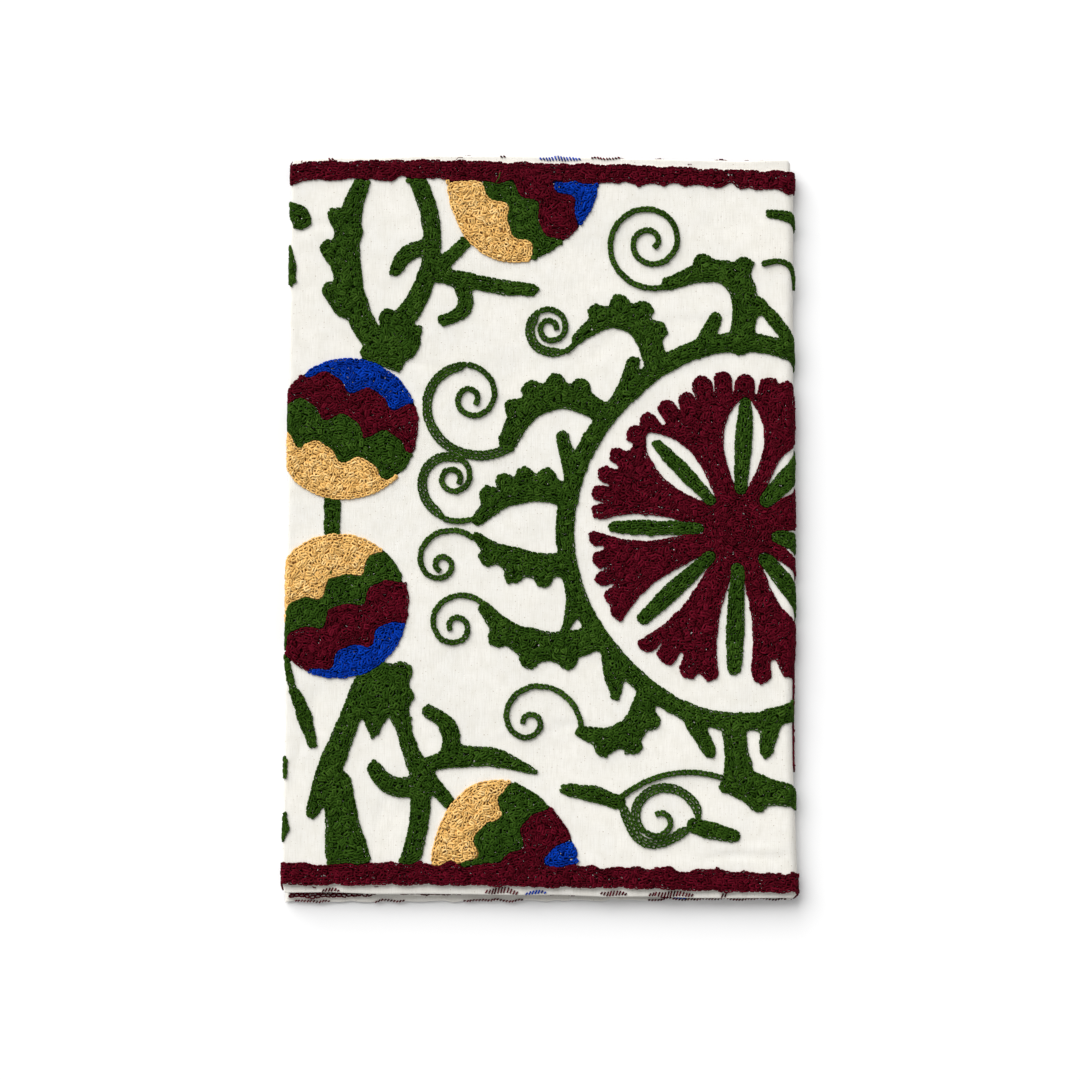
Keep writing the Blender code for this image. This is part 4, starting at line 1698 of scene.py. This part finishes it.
def cotton_material():
    """Plain-woven off-white cotton, with the yarn bed between the loops painted darker as their shade.
    """
    material, tree, shader = new_material("cotton_ground")
    along = attribute_node(tree, "along")
    over = attribute_node(tree, "over")
    flat = add_node(tree, "ShaderNodeCombineXYZ", X=along, Y=over).outputs["Vector"]
    colour = COTTON_COLOUR
    noises = {}
    for name, tone in COTTON_TONES.items():
        noise = noise_node(tree, flat, tone.scale, tone.detail, (tone.along, tone.over, 1.0))
        share = math_node(tree, "MULTIPLY", graded(tree, noise, tone.low, tone.high), tone.strength)
        colour = mix_colours(tree, share, colour, tone.colour)
        noises[name] = noise
    share, bed = stitch_bed_and_shade(tree, flat, along)
    colour = mix_colours(tree, share, colour, bed)
    threads = [math_node(tree, "SINE", math_node(tree, "MULTIPLY", value, math.tau / WEAVE_PITCH))
               for value in (along, over)]
    rough = math_node(tree, "MULTIPLY", *threads)
    rough = math_node(tree, "MULTIPLY_ADD", noises["slubs"], SLUB_BUMP, rough)
    rough = math_node(tree, "MULTIPLY_ADD", noises["warp"], WARP_BUMP, rough)
    set_surface(tree, shader, colour, rough, COTTON_SURFACE)
    return material


def floor_material():
    """A pale, matt, almost even floor."""
    material, tree, shader = new_material("pale_floor")
    place = tree.nodes.new("ShaderNodeTexCoord").outputs["Object"]
    soft, fine = (noise_node(tree, place, scale) for scale in FLOOR_SCALES)
    set_surface(tree, shader, mix_colours(tree, soft, *FLOOR_TONES), fine, FLOOR_SURFACE)
    return material


MATERIALS["cotton_ground"] = cotton_material()
for yarn_slot in SLOTS.values():
    MATERIALS[yarn_slot] = yarn_material(yarn_slot)

cotton = cotton_piece()
sew_links()
sew_backs()
loose_threads()

# ---------------------------------------------------------------- floor, light and camera

FLOOR_HALF = 9.0
ROOM_LIGHT = 0.46
WINDOW_LIGHT = 0.74
WINDOW_HEIGHT = math.radians(33.0)
WINDOW_SIDE = math.radians(33.0)
WINDOW_SPREAD = math.radians(60.0)
LENS = 85.0
SENSOR = 36.0
CLIP = (0.01, 20.0)


def floor():
    """One large square, which is part of the view but not of the thing."""
    mesh = bpy.data.meshes.new("floor")
    half = FLOOR_HALF
    corners = [(-half, -half, 0), (half, -half, 0), (half, half, 0), (-half, half, 0)]
    mesh.from_pydata(corners, [], [(0, 1, 2, 3)])
    thing = bpy.data.objects.new("floor", mesh)
    bpy.context.scene.collection.objects.link(thing)
    thing.data.materials.append(floor_material())
    thing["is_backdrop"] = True


def pointed(thing, place, target):
    """Puts an object at a place and points it at another, with its top away from the viewer."""
    bpy.context.scene.collection.objects.link(thing)
    back = (Vector(place) - Vector(target)).normalized()
    side = Vector((0, 1, 0)).cross(back).normalized()
    up = back.cross(side)
    turn = Matrix((side, up, back)).transposed().to_4x4()
    thing.matrix_world = Matrix.Translation(place) @ turn


def light():
    """An even white room, and one broad soft light from the upper left."""
    world = bpy.data.worlds.new("studio")
    bpy.context.scene.world = world
    world.use_nodes = True
    sky = world.node_tree.nodes["Background"]
    sky.inputs["Color"].default_value = (1.0, 1.0, 1.0, 1.0)
    sky.inputs["Strength"].default_value = ROOM_LIGHT
    lamp = bpy.data.lights.new("window", "SUN")
    lamp.angle = WINDOW_SPREAD
    lamp.energy = WINDOW_LIGHT * math.pi / math.sin(WINDOW_HEIGHT)
    across = math.cos(WINDOW_HEIGHT)
    place = (-across * math.sin(WINDOW_SIDE), across * math.cos(WINDOW_SIDE), math.sin(WINDOW_HEIGHT))
    pointed(bpy.data.objects.new("window", lamp), place, (0, 0, 0))


def camera():
    """Far above the cloth and tilted a little, as the photo was taken."""
    view = bpy.data.cameras.new("camera")
    view.lens = LENS
    view.sensor_width = SENSOR
    view.clip_start, view.clip_end = CLIP
    eye = bpy.data.objects.new("camera", view)
    target = Vector(CAMERA_TARGET) * MM
    away = Vector((0, -math.sin(CAMERA_TILT), math.cos(CAMERA_TILT)))
    pointed(eye, target + away * CAMERA_DISTANCE * MM, target)
    bpy.context.scene.camera = eye


floor()
light()
camera()
bpy.context.scene.view_settings.view_transform = "Standard"


def plain_numbers(values):
    """Nested rows of numbers as plain lists."""
    return [plain_numbers(v) if hasattr(v, "__len__") else float(v) for v in values]


{"cad": plain_numbers(CAD_BOX), "dressed": plain_numbers(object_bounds())}
